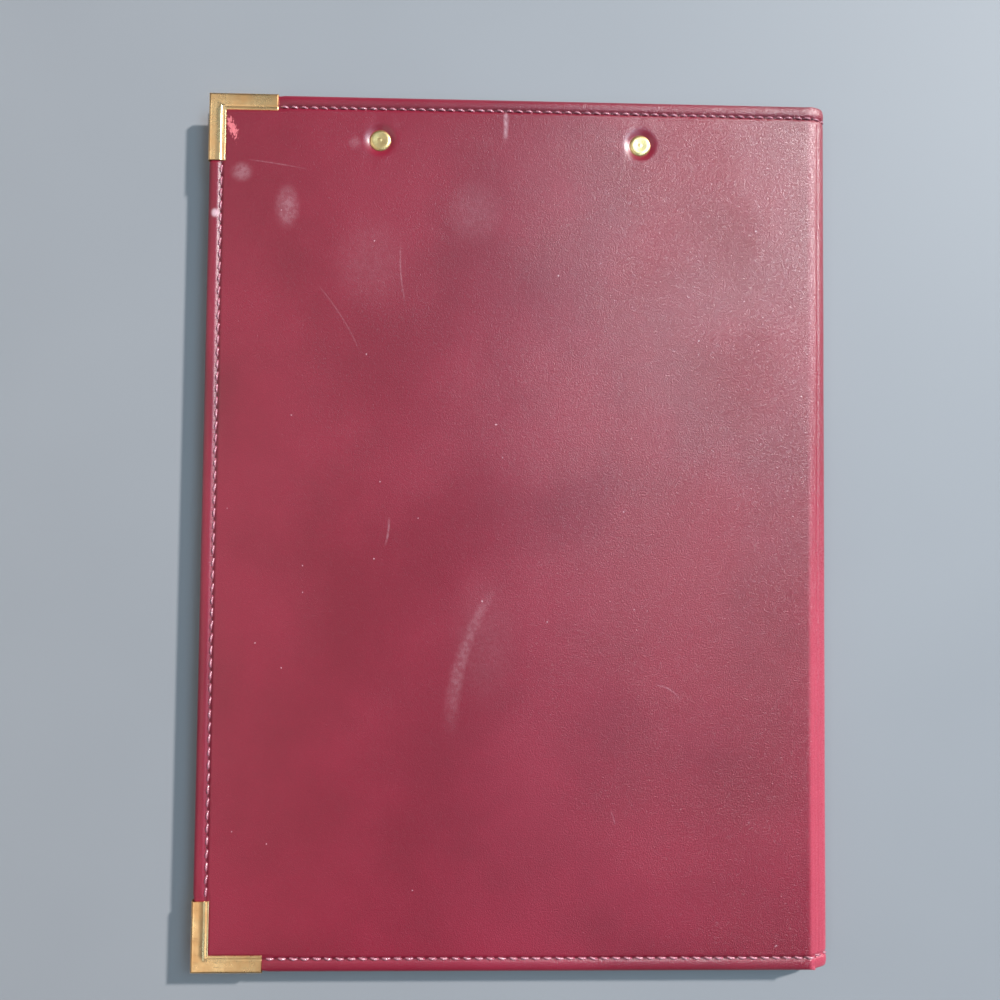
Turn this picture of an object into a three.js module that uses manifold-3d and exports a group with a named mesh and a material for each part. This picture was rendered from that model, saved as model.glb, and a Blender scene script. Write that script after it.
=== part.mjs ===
// Clipboard portfolio, closed, lying with its front cover down and its back cover up.
// Millimetres, +Z up. +X points at the spine, +Y at the clip end.
// The origin is the middle of the surface that the closed folder rests on.

import * as THREE from 'three';
import { mergeVertices } from 'three/addons/utils/BufferGeometryUtils.js';
import Module from 'manifold-3d';

const wasm = await Module();
wasm.setup();

// Covers
const coverLength = 320;
const backCoverReach = 226;
const foreOverhang = 0.8;
const innerGap = 4.8;
const hemCornerRadius = 2.5;

// Layers of one cover, from its outer face inward
const skinThickness = 0.6;
const boardThickness = 1.5;
const turnInThickness = 0.4;
const glueLine = 0.1;
const coverThickness = skinThickness + boardThickness + turnInThickness + 2 * glueLine;
const closedThickness = 2 * coverThickness + innerGap;

// Turned hem and the groove that its seam lies in
const hemWall = 0.9;
const turnInWidth = 12;
const seamInset = 4.8;
const seamGrooveWidth = 1.3;
const seamGrooveDepth = 0.22;

// Fold and spine
const foldAllowance = 3.2;
const foldClearance = 0.5;
const spineRadius = closedThickness / 2;
const spineLiningThickness = 0.4;
const spineSegments = 28;

// Lining and the document pocket inside the front cover
const liningClearance = 0.3;
const pocketThickness = 0.5;
const pocketMargin = 7;
const pocketHeight = 172;
const pocketDip = 14;

// Metal corners on the fore-edge
const cornerArmLength = 25.5;
const cornerArmWidth = 6.4;
const cornerMetal = 0.45;
const cornerProud = 0.25;
const cornerBevel = 0.25;
const cornerBorder = 1.5;
const cornerBorderDrop = 0.2;
const cornerClearance = 0.1;

// Clip plate, measured from the lining that it lies on
const clipFromForeEdge = 111.6;
const rivetFromTop = 16.5;
const rivetSpacing = 97;
const rivetToPlateEnd = 9;
const plateWidth = rivetSpacing + 2 * rivetToPlateEnd;
const plateBehind = 9;
const plateAhead = 9.5;
const plateMetal = 0.8;
const plateCornerRadius = 4;

// Clip hinge
const pinRadius = 0.7;
const pinHeight = 2.0;
const pinOverhang = 0.5;
const pinChamfer = 0.15;
const pinClearance = 0.25;
const earMetal = 0.8;
const earWall = 0.75;
const earGap = 0.6;
const earSlotClearance = 0.3;

// Clip jaw, between the rivets
const rivetToJawEnd = 6;
const jawWidth = rivetSpacing - 2 * rivetToJawEnd;
const jawMetal = 0.75;
const jawReach = 21;
const jawTop = 4.05;
const jawFlat = 0.8;
const jawShoulderFall = 0.5;
const jawMiddleFall = 1.55;
const jawNeckRise = 0.45;
const lipRadius = 0.85;
const lipClearance = 0.3;
const lipStartTurn = 0.62 * Math.PI;
const lipSweep = Math.PI;
const thumbReach = 12.5;
const thumbDrop = 0.5;
const thumbWidth = 46;
const thumbEdgeMargin = 1;
const jawCornerRadius = 5;

// Torsion springs on the hinge pin
const springFromJawEnd = 12.5;
const springFromMiddle = jawWidth / 2 - springFromJawEnd;
const springWire = 0.6;
const springClearance = 0.2;
const springTurns = 4;
const springPitch = 0.85;
const springLeg = 6;
const springLean = 0.14;
const springWindowSide = 1.2;
const springWindowReach = 2.1;

// Rivets
const rivetHeadRadius = 4.05;
const rivetHeadHeight = 0.95;
const rivetDishDepth = 0.45;
const rivetPipHeight = 0.12;
const rivetPipRadius = 0.75;
const rivetRimRound = 0.42;
const rivetFootRound = 0.2;
const rivetDimple = 0.35;
const rivetDimpleSpread = 1.6;
const rivetShankRadius = 1.6;
const rivetShankClearance = 0.2;
const rivetClenchRadius = 2.7;
const rivetClenchHeight = 0.7;
const rivetSegments = 32;

// Places worked out from the sizes above
const leatherFloor = cornerProud;
const foldX = (backCoverReach + foreOverhang + cornerProud - spineRadius) / 2;
const backForeEdge = foldX - backCoverReach;
const frontForeEdge = backForeEdge - foreOverhang;
const skinEnd = foldX - foldClearance;
const boardEnd = foldX - foldAllowance;
const topHem = coverLength / 2;
const bottomHem = -coverLength / 2;
const clipX = backForeEdge + clipFromForeEdge;
const clipY = topHem - rivetFromTop;
const rivetXs = [clipX - rivetSpacing / 2, clipX + rivetSpacing / 2];

// A cover's face: where its outer face lies, and which way its layers go inward
const frontFace = { outer: leatherFloor, inward: 1, foreEdge: frontForeEdge };
const backFace = { outer: leatherFloor + closedThickness, inward: -1, foreEdge: backForeEdge };

// Depths below a cover's outer face
const boardTop = skinThickness + glueLine;
const boardBottom = boardTop + boardThickness;
const liningTop = boardBottom + glueLine;
const backInside = backFace.outer - coverThickness;

const finishes = {
  leatherette: { color: 0x8e3247, roughness: 0.42, metalness: 0 },
  lining: { color: 0x5d2230, roughness: 0.7, metalness: 0 },
  board: { color: 0x8b8173, roughness: 0.95, metalness: 0 },
  cornerBrass: { color: 0xcf9e66, roughness: 0.34, metalness: 1 },
  rivetBrass: { color: 0xc9ad5c, roughness: 0.3, metalness: 1 },
  steel: { color: 0xb9bbbd, roughness: 0.25, metalness: 1 },
};

const portfolio = new THREE.Group();

function addPiece(name, geometry, finish) {
  geometry.computeVertexNormals();
  const mesh = new THREE.Mesh(geometry, new THREE.MeshStandardMaterial(finishes[finish]));
  mesh.name = name;
  portfolio.add(mesh);
  return mesh;
}

function toSolid(geometry) {
  const bare = geometry.clone();
  bare.deleteAttribute('normal');
  bare.deleteAttribute('uv');
  const welded = mergeVertices(bare, 1e-5);
  return new wasm.Manifold(new wasm.Mesh({
    numProp: 3,
    vertProperties: new Float32Array(welded.attributes.position.array),
    triVerts: new Uint32Array(welded.index.array),
  }));
}

function toGeometry(solid) {
  const mesh = solid.getMesh();
  const geometry = new THREE.BufferGeometry();
  geometry.setAttribute('position', new THREE.BufferAttribute(mesh.vertProperties, 3));
  geometry.setIndex(new THREE.BufferAttribute(mesh.triVerts, 1));
  return geometry;
}

function cutFrom(body, cutters) {
  let solid = body;
  for (const cutter of cutters) {
    solid = solid.subtract(cutter);
  }
  return solid;
}

// An outline in the XY plane with rounded corners
function roundedRectangle(left, right, bottom, top, radius) {
  const shape = new THREE.Shape();
  shape.moveTo(left + radius, bottom);
  shape.lineTo(right - radius, bottom);
  shape.absarc(right - radius, bottom + radius, radius, -Math.PI / 2, 0);
  shape.lineTo(right, top - radius);
  shape.absarc(right - radius, top - radius, radius, 0, Math.PI / 2);
  shape.lineTo(left + radius, top);
  shape.absarc(left + radius, top - radius, radius, Math.PI / 2, Math.PI);
  shape.lineTo(left, bottom + radius);
  shape.absarc(left + radius, bottom + radius, radius, Math.PI, Math.PI * 1.5);
  return shape;
}

function polygon(points) {
  return new THREE.Shape(points.map(([x, y]) => new THREE.Vector2(x, y)));
}

function circle(x, y, radius) {
  const path = new THREE.Path();
  path.absarc(x, y, radius, 0, Math.PI * 2, true);
  return path;
}

// A flat piece standing between two heights
function prism(shape, low, high, curveSegments = 6) {
  const geometry = new THREE.ExtrudeGeometry(shape, {
    depth: high - low,
    bevelEnabled: false,
    curveSegments,
  });
  geometry.translate(0, 0, low);
  return geometry;
}

// A flat piece whose outline edges are rounded over
function softPrism(shape, low, high, rounding, segments) {
  const geometry = new THREE.ExtrudeGeometry(shape, {
    depth: high - low - 2 * rounding,
    bevelEnabled: true,
    bevelThickness: rounding,
    bevelSize: rounding,
    bevelOffset: -rounding,
    bevelSegments: segments,
    curveSegments: 4,
  });
  geometry.translate(0, 0, low + rounding);
  return geometry;
}

function box(left, right, bottom, top, low, high) {
  const geometry = new THREE.BoxGeometry(right - left, top - bottom, high - low);
  geometry.translate((left + right) / 2, (bottom + top) / 2, (low + high) / 2);
  return geometry;
}

// The heights between two depths below a cover's outer face
function layer(face, from, to) {
  const a = face.outer + face.inward * from;
  const b = face.outer + face.inward * to;
  return [Math.min(a, b), Math.max(a, b)];
}

function rivetHoles(face) {
  return face === backFace
    ? rivetXs.map((x) => circle(x, clipY, rivetShankRadius + rivetShankClearance))
    : [];
}

// Greyboard core of a cover
function buildBoard(face) {
  const shape = roundedRectangle(
    face.foreEdge + hemWall,
    boardEnd,
    bottomHem + hemWall,
    topHem - hemWall,
    hemCornerRadius - hemWall,
  );
  shape.holes.push(...rivetHoles(face));
  return prism(shape, ...layer(face, boardTop, boardBottom), 8);
}

// Metal corner: a channel bent round the fore-edge and a hem, open on its inner side
// end is +1 at the clip end and -1 at the other
function cornerOutline(face, end, margin, armWidth = cornerArmWidth) {
  const x0 = face.foreEdge - cornerProud - margin;
  const y0 = end * (topHem + cornerProud + margin);
  const armX = face.foreEdge - cornerProud + cornerArmLength + margin;
  const armY = end * (topHem + cornerProud - cornerArmLength - margin);
  const innerX = face.foreEdge - cornerProud + armWidth + margin;
  const innerY = end * (topHem + cornerProud - armWidth - margin);
  return polygon([[x0, y0], [armX, y0], [armX, innerY], [innerX, innerY], [innerX, armY], [x0, armY]]);
}

// The middle of each arm is raised, and a lower border runs along its inner side
function buildCorner(face, end) {
  const [low, high] = layer(face, -cornerProud, coverThickness + cornerProud);
  const drop = cornerBorderDrop;
  const panel = cornerOutline(face, end, 0, cornerArmWidth - cornerBorder);
  const border = cornerOutline(face, end, 0);
  const raised = toSolid(softPrism(panel, low, high, cornerBevel, 3));
  const flat = toSolid(softPrism(border, low + drop, high - drop, cornerBevel / 2, 2));
  const outer = raised.add(flat);
  const wall = cornerMetal;
  const slotX = [face.foreEdge - cornerProud + wall, face.foreEdge + 2 * cornerArmLength];
  const hem = end * (topHem + cornerProud - wall);
  const far = end * (topHem - 2 * cornerArmLength);
  const slotY = [Math.min(hem, far), Math.max(hem, far)];
  const slot = toSolid(box(...slotX, ...slotY, low + wall, high - wall));
  return toGeometry(outer.subtract(slot));
}

// What a corner takes out of the leatherette that it clamps
function cornerSeat(face, end) {
  const [low, high] = layer(face, -cornerProud, coverThickness + cornerProud);
  const wall = cornerMetal + cornerClearance;
  const outline = cornerOutline(face, end, cornerClearance);
  const whole = toSolid(prism(outline, low - 1, high + 1));
  const hem = end * (topHem + cornerProud - wall);
  const far = end * (topHem - 2 * cornerArmLength);
  const kept = toSolid(box(
    face.foreEdge - cornerProud + wall,
    face.foreEdge + 2 * cornerArmLength,
    Math.min(hem, far),
    Math.max(hem, far),
    low + wall,
    high - wall,
  ));
  return whole.subtract(kept);
}

// Half-round groove along a straight seam on the outer face
function seamGroove(face, from, to) {
  const along = new THREE.Vector3(to[0] - from[0], to[1] - from[1], 0);
  const geometry = new THREE.CylinderGeometry(1, 1, along.length(), 8);
  geometry.scale(seamGrooveWidth / 2, 1, seamGrooveDepth);
  geometry.rotateZ(Math.atan2(along.y, along.x) - Math.PI / 2);
  geometry.translate((from[0] + to[0]) / 2, (from[1] + to[1]) / 2, face.outer);
  return toSolid(geometry);
}

function rivetDimpleCutter(face, x) {
  const geometry = new THREE.CylinderGeometry(
    rivetHeadRadius + rivetDimpleSpread,
    rivetHeadRadius + rivetShankClearance,
    rivetDimple * 2,
    rivetSegments,
  );
  geometry.rotateX(Math.PI / 2);
  geometry.translate(x, clipY, face.outer);
  return toSolid(geometry);
}

// Leatherette of a cover: one sheet, turned in over the board at its three free edges
function buildCoverSkin(face) {
  const slabHeights = layer(face, 0, coverThickness);
  const beyond = 2 * spineRadius;
  const slab = toSolid(softPrism(
    roundedRectangle(face.foreEdge, skinEnd + beyond, bottomHem, topHem, hemCornerRadius),
    ...slabHeights,
    coverThickness / 2 - glueLine,
    4,
  ));
  const past = box(skinEnd, skinEnd + 2 * beyond, bottomHem - 1, topHem + 1, slabHeights[0] - 1, slabHeights[1] + 1);
  const boardRoom = box(
    face.foreEdge + hemWall - glueLine,
    skinEnd + beyond,
    bottomHem + hemWall - glueLine,
    topHem - hemWall + glueLine,
    ...layer(face, skinThickness, liningTop),
  );
  const window = box(
    face.foreEdge + turnInWidth,
    skinEnd + beyond,
    bottomHem + turnInWidth,
    topHem - turnInWidth,
    ...layer(face, skinThickness, coverThickness + 1),
  );
  const seamX = face.foreEdge + seamInset;
  const seamTop = topHem - seamInset;
  const seamBottom = bottomHem + seamInset;
  const cutters = [
    toSolid(past),
    toSolid(boardRoom),
    toSolid(window),
    seamGroove(face, [seamX, seamTop], [skinEnd + 1, seamTop]),
    seamGroove(face, [seamX, seamBottom], [skinEnd + 1, seamBottom]),
    seamGroove(face, [seamX, seamBottom], [seamX, seamTop]),
    cornerSeat(face, 1),
    cornerSeat(face, -1),
  ];
  if (face === backFace) {
    for (const x of rivetXs) {
      cutters.push(rivetDimpleCutter(face, x));
      const shank = new THREE.Shape();
      shank.absarc(x, clipY, rivetShankRadius + rivetShankClearance, 0, Math.PI * 2);
      cutters.push(toSolid(prism(shank, slabHeights[0] - 1, slabHeights[1] + 1, 8)));
    }
  }
  return toGeometry(cutFrom(slab, cutters));
}

// Lining sheet that lies flush inside the turned hem
function buildLining(face) {
  const shape = roundedRectangle(
    face.foreEdge + turnInWidth + liningClearance,
    boardEnd,
    bottomHem + turnInWidth + liningClearance,
    topHem - turnInWidth - liningClearance,
    1,
  );
  shape.holes.push(...rivetHoles(face));
  return prism(shape, ...layer(face, liningTop, coverThickness), 8);
}

// Document pocket: a sheet sewn to the front lining along three sides, with a dipped mouth
function buildPocket() {
  const face = frontFace;
  const left = face.foreEdge + turnInWidth + pocketMargin;
  const right = boardEnd - pocketMargin;
  const bottom = bottomHem + turnInWidth + pocketMargin;
  const top = bottom + pocketHeight;
  const middle = (left + right) / 2;
  const shape = new THREE.Shape();
  shape.moveTo(left, bottom);
  shape.lineTo(right, bottom);
  shape.lineTo(right, top);
  shape.quadraticCurveTo(middle, top - 2 * pocketDip, left, top);
  shape.lineTo(left, bottom);
  return prism(shape, ...layer(face, coverThickness, coverThickness + pocketThickness), 14);
}

// A strip bent round the back of the closed folder, from fold to fold
function bentStrip(outerRadius, thickness, length) {
  const middle = leatherFloor + spineRadius;
  const shape = new THREE.Shape();
  shape.absarc(0, 0, outerRadius, -Math.PI / 2, Math.PI / 2);
  shape.absarc(0, 0, outerRadius - thickness, Math.PI / 2, -Math.PI / 2, true);
  const geometry = new THREE.ExtrudeGeometry(shape, {
    depth: length,
    bevelEnabled: false,
    curveSegments: spineSegments,
  });
  geometry.rotateX(Math.PI / 2);
  geometry.translate(foldX, length / 2, middle);
  return geometry;
}

// Closed outline of a bent sheet that follows a path with one thickness
function sheetOutline(path, thickness) {
  const near = [];
  const far = [];
  path.forEach((point, i) => {
    const before = path[Math.max(i - 1, 0)];
    const after = path[Math.min(i + 1, path.length - 1)];
    const along = new THREE.Vector2(after[0] - before[0], after[1] - before[1]).normalize();
    const side = new THREE.Vector2(-along.y, along.x).multiplyScalar(thickness / 2);
    near.push([point[0] + side.x, point[1] + side.y]);
    far.unshift([point[0] - side.x, point[1] - side.y]);
  });
  return [...near, ...far];
}

// Clip frame: s runs from the hinge pin toward the lip, v away from the back lining, w along the pin
// A profile in s and v is pulled along w and set in place inside the back cover
function clipProfile(points, wLow, wHigh) {
  const geometry = new THREE.ExtrudeGeometry(polygon(points), {
    depth: wHigh - wLow,
    bevelEnabled: false,
  });
  geometry.translate(0, 0, wLow);
  return placeClip(geometry);
}

// Turns s, v, w into the folder's own axes: s to -Y, v to -Z, w to +X
function placeClip(geometry) {
  const turn = new THREE.Matrix4().makeBasis(
    new THREE.Vector3(0, -1, 0),
    new THREE.Vector3(0, 0, -1),
    new THREE.Vector3(1, 0, 0),
  );
  geometry.applyMatrix4(turn);
  geometry.translate(clipX, clipY, backInside);
  return geometry;
}

function clipHeights(from, to) {
  return [backInside - to, backInside - from];
}

// Ear of a plate: a lug round the pin, standing up from the plate at one end
function buildEar(wLow, wHigh, footV, radius) {
  const points = [];
  const steps = 14;
  const footSide = footV > pinHeight ? 1 : -1;
  for (let i = 0; i <= steps; i += 1) {
    const angle = Math.PI * (i / steps);
    points.push([radius * Math.cos(angle), pinHeight - footSide * radius * Math.sin(angle)]);
  }
  points.push([-radius, footV], [radius, footV]);
  const ear = toSolid(clipProfile(footSide > 0 ? points.reverse() : points, wLow, wHigh));
  const hole = new THREE.CylinderGeometry(pinRadius + pinClearance, pinRadius + pinClearance, 4 * earMetal, 16);
  hole.rotateX(Math.PI / 2);
  hole.translate(0, pinHeight, (wLow + wHigh) / 2);
  return ear.subtract(toSolid(placeClip(hole)));
}

const earRadius = pinRadius + pinClearance + earWall;
const jawEarOuter = jawWidth / 2;
const plateEarInner = jawEarOuter + earGap;
const springStart = -Math.PI / 2 - springLean;
const springSweep = 2 * Math.PI * springTurns + Math.PI / 2 - springStart;
const springLength = springPitch * (springSweep / (2 * Math.PI));
const springOuter = pinRadius + springClearance + springWire;

// Plate that the rivets hold: flat, with an ear at each end of the pin and a window under each spring
function buildClipPlate() {
  const shape = roundedRectangle(
    clipX - plateWidth / 2,
    clipX + plateWidth / 2,
    clipY - plateAhead,
    clipY + plateBehind,
    plateCornerRadius,
  );
  shape.holes.push(...rivetHoles(backFace));
  let solid = toSolid(prism(shape, ...clipHeights(0, plateMetal), 6));
  for (const side of [-1, 1]) {
    const spans = [side * plateEarInner, side * (plateEarInner + earMetal)].sort((a, b) => a - b);
    solid = solid.add(buildEar(...spans, plateMetal / 2, earRadius));
    const springRoom = springLength / 2 + springWindowSide;
    solid = solid.subtract(plateWindow(side * springFromMiddle, springRoom, springOuter + springWindowReach));
    const earMiddle = side * (jawEarOuter - earMetal / 2);
    solid = solid.subtract(plateWindow(earMiddle, earMetal / 2 + earSlotClearance, earRadius + earSlotClearance));
  }
  return toGeometry(solid);
}

// A slot right through the clip plate, centred under the pin
function plateWindow(middle, halfWidth, halfDepth) {
  return toSolid(box(
    clipX + middle - halfWidth,
    clipX + middle + halfWidth,
    clipY - halfDepth,
    clipY + halfDepth,
    ...clipHeights(-1, plateMetal + 1),
  ));
}

// Jaw: one pressed sheet with a thumb press behind the pin and a rolled lip ahead of it
function buildClipJaw() {
  const lipCentre = lipClearance + lipRadius;
  const path = [
    [-thumbReach, jawTop - 2 * thumbDrop],
    [-thumbReach * 0.75, jawTop - thumbDrop / 2],
    [-thumbReach * 0.5, jawTop],
    [jawFlat, jawTop],
    [jawReach * 0.3, jawTop - jawShoulderFall],
    [jawReach * 0.62, jawTop - jawMiddleFall],
    [jawReach * 0.85, lipCentre + jawNeckRise],
  ];
  const steps = 7;
  for (let i = 0; i <= steps; i += 1) {
    const angle = lipSweep * (i / steps) - lipStartTurn;
    path.push([
      jawReach + (lipRadius - jawMetal / 2) * Math.cos(angle),
      lipCentre + (lipRadius - jawMetal / 2) * Math.sin(angle),
    ]);
  }
  const sheet = toSolid(clipProfile(sheetOutline(path, jawMetal), -jawWidth / 2, jawWidth / 2));
  const plan = new THREE.Shape();
  const half = jawWidth / 2;
  const thumb = thumbWidth / 2;
  const r = jawCornerRadius;
  const rear = clipY + thumbReach + jawMetal;
  const shoulder = clipY + earRadius + thumbEdgeMargin;
  const lip = clipY - jawReach - 2 * lipRadius;
  plan.moveTo(clipX - half, lip);
  plan.lineTo(clipX + half, lip);
  plan.lineTo(clipX + half, shoulder);
  plan.bezierCurveTo(clipX + half - r, shoulder + r / 2, clipX + thumb + 2 * r, shoulder, clipX + thumb, rear - r);
  plan.quadraticCurveTo(clipX + thumb - r / 2, rear, clipX + thumb - 1.6 * r, rear);
  plan.lineTo(clipX - thumb + 1.6 * r, rear);
  plan.quadraticCurveTo(clipX - thumb + r / 2, rear, clipX - thumb, rear - r);
  plan.bezierCurveTo(clipX - thumb - 2 * r, shoulder, clipX - half + r, shoulder + r / 2, clipX - half, shoulder);
  plan.lineTo(clipX - half, lip);
  let solid = sheet.intersect(toSolid(prism(plan, ...clipHeights(-1, jawTop + 2), 8)));
  for (const side of [-1, 1]) {
    const spans = [side * (jawEarOuter - earMetal), side * jawEarOuter].sort((a, b) => a - b);
    solid = solid.add(buildEar(...spans, jawTop, earRadius));
  }
  return toGeometry(solid);
}

function buildPin() {
  const half = plateEarInner + earMetal + pinOverhang;
  const profile = [
    [0, -half],
    [pinRadius - pinChamfer, -half],
    [pinRadius, -half + pinChamfer],
    [pinRadius, half - pinChamfer],
    [pinRadius - pinChamfer, half],
    [0, half],
  ].map(([x, y]) => new THREE.Vector2(x, y));
  const geometry = new THREE.LatheGeometry(profile, 16);
  geometry.rotateX(Math.PI / 2);
  geometry.translate(0, pinHeight, 0);
  return placeClip(geometry);
}

// Torsion spring: a coil round the pin, one leg on the plate and one under the thumb press
class SpringPath extends THREE.Curve {
  constructor(middle) {
    super();
    this.middle = middle;
    this.radius = springOuter - springWire / 2;
    this.arc = this.radius * springSweep;
    this.total = this.arc + 2 * springLeg;
  }

  getPoint(t, target = new THREE.Vector3()) {
    const travelled = t * this.total;
    const turned = THREE.MathUtils.clamp((travelled - springLeg) / this.radius, 0, springSweep);
    const angle = springStart + turned;
    const w = this.middle - springLength / 2 + springPitch * (turned / (2 * Math.PI));
    const s = this.radius * Math.cos(angle);
    const v = pinHeight + this.radius * Math.sin(angle);
    const before = Math.min(travelled - springLeg, 0);
    const after = Math.max(travelled - springLeg - this.arc, 0);
    const straight = before + after;
    return target.set(s - straight * Math.sin(angle), v + straight * Math.cos(angle), w);
  }
}

function buildSpring(side) {
  const ring = new THREE.Shape();
  ring.absarc(0, 0, springWire / 2, 0, Math.PI * 2);
  const geometry = new THREE.ExtrudeGeometry(ring, {
    steps: 84,
    curveSegments: 3,
    bevelEnabled: false,
    extrudePath: new SpringPath(side * springFromMiddle),
  });
  return placeClip(geometry);
}

// Rivet: a dished head on the leatherette, a shank through the cover, and a rolled end on the plate
function buildRivet(x) {
  const shankEnd = coverThickness + plateMetal;
  const seat = rivetDimple;
  const top = seat - rivetHeadHeight;
  const head = rivetHeadRadius;
  const profile = [
    [0, top + rivetDishDepth - rivetPipHeight],
    [rivetPipRadius * 0.6, top + rivetDishDepth - rivetPipHeight * 0.8],
    [rivetPipRadius, top + rivetDishDepth],
    [head * 0.42, top + rivetDishDepth * 0.8],
    [head * 0.5, top + rivetDishDepth * 0.62],
    [head * 0.7, top + rivetDishDepth * 0.3],
    [head * 0.8, top],
    [head * 0.92, top + rivetRimRound / 4],
    [head, top + rivetRimRound],
    [head, seat - rivetFootRound],
    [head - rivetFootRound, seat],
    [rivetShankRadius, seat],
    [rivetShankRadius, shankEnd],
    [rivetClenchRadius, shankEnd],
    [rivetClenchRadius, shankEnd + rivetClenchHeight * 0.4],
    [rivetClenchRadius * 0.8, shankEnd + rivetClenchHeight],
    [rivetClenchRadius * 0.5, shankEnd + rivetClenchHeight * 0.9],
    [rivetShankRadius * 0.5, shankEnd + rivetClenchHeight * 0.3],
    [0, shankEnd + rivetClenchHeight * 0.3],
  ].map(([r, depth]) => new THREE.Vector2(r, -depth));
  const geometry = new THREE.LatheGeometry(profile.reverse(), rivetSegments);
  geometry.rotateX(Math.PI / 2);
  geometry.translate(x, clipY, backFace.outer);
  return geometry;
}

addPiece('front_board', buildBoard(frontFace), 'board');
addPiece('front_cover_skin', buildCoverSkin(frontFace), 'leatherette');
addPiece('front_lining', buildLining(frontFace), 'lining');
addPiece('front_pocket', buildPocket(), 'lining');
addPiece('front_corner_top', buildCorner(frontFace, 1), 'cornerBrass');
addPiece('front_corner_bottom', buildCorner(frontFace, -1), 'cornerBrass');

addPiece('spine_skin', bentStrip(spineRadius, skinThickness, coverLength), 'leatherette');
addPiece(
  'spine_lining',
  bentStrip(spineRadius - skinThickness - glueLine, spineLiningThickness, coverLength - 2 * hemWall),
  'lining',
);

addPiece('back_board', buildBoard(backFace), 'board');
addPiece('back_cover_skin', buildCoverSkin(backFace), 'leatherette');
addPiece('back_lining', buildLining(backFace), 'lining');
addPiece('back_corner_top', buildCorner(backFace, 1), 'cornerBrass');
addPiece('back_corner_bottom', buildCorner(backFace, -1), 'cornerBrass');

addPiece('clip_plate', buildClipPlate(), 'steel');
addPiece('clip_pin', buildPin(), 'steel');
addPiece('clip_jaw', buildClipJaw(), 'steel');
addPiece('clip_spring_left', buildSpring(-1), 'steel');
addPiece('clip_spring_right', buildSpring(1), 'steel');
rivetXs.forEach((x, i) => addPiece(['rivet_left', 'rivet_right'][i], buildRivet(x), 'rivetBrass'));

export default portfolio;
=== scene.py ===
"""Looks of the clipboard portfolio: leatherette covers, seams, metal corners, rivets, clip and linings."""

from __future__ import annotations

import logging
import math
import random
from dataclasses import dataclass, field
from enum import Enum
from typing import Callable, Sequence

import bmesh
import bpy
import numpy as np
from mathutils import Matrix, Vector

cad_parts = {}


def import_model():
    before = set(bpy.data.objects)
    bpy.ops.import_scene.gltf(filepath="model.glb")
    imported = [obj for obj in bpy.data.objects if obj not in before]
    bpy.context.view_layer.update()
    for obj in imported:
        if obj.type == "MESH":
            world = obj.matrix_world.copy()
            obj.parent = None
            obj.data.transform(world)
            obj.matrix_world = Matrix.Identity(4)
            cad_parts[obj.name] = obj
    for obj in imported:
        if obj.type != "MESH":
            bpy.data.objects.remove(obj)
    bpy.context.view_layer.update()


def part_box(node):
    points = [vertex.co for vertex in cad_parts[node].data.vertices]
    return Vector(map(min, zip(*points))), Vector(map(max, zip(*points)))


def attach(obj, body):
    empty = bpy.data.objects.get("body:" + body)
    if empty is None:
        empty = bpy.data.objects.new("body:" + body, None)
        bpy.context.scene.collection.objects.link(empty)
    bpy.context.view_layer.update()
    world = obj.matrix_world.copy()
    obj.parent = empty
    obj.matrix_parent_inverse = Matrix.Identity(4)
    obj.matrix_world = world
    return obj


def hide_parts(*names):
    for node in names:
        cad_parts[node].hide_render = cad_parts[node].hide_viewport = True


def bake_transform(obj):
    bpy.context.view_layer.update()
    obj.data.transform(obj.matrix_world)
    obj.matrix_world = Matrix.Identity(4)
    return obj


log = logging.getLogger("portfolio")
MM = 0.001
BEZIER_ARC = 0.5523  # handle of a curve that follows a quarter circle, as a share of its radius
Array = np.ndarray
Colour = tuple[float, float, float]
PathPoint = tuple[Vector, Vector, Vector]


class Side(Enum):
    """Which cover a piece belongs to, with the sign that points out of its outer face."""

    FRONT = -1
    BACK = 1

    @property
    def body(self) -> str:
        """Name of the cover's body."""
        return "back_cover" if self is Side.BACK else "front_cover"

    @property
    def word(self) -> str:
        """Word that the names of its pieces start with."""
        return self.name.lower()


# Shader expressions


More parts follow.
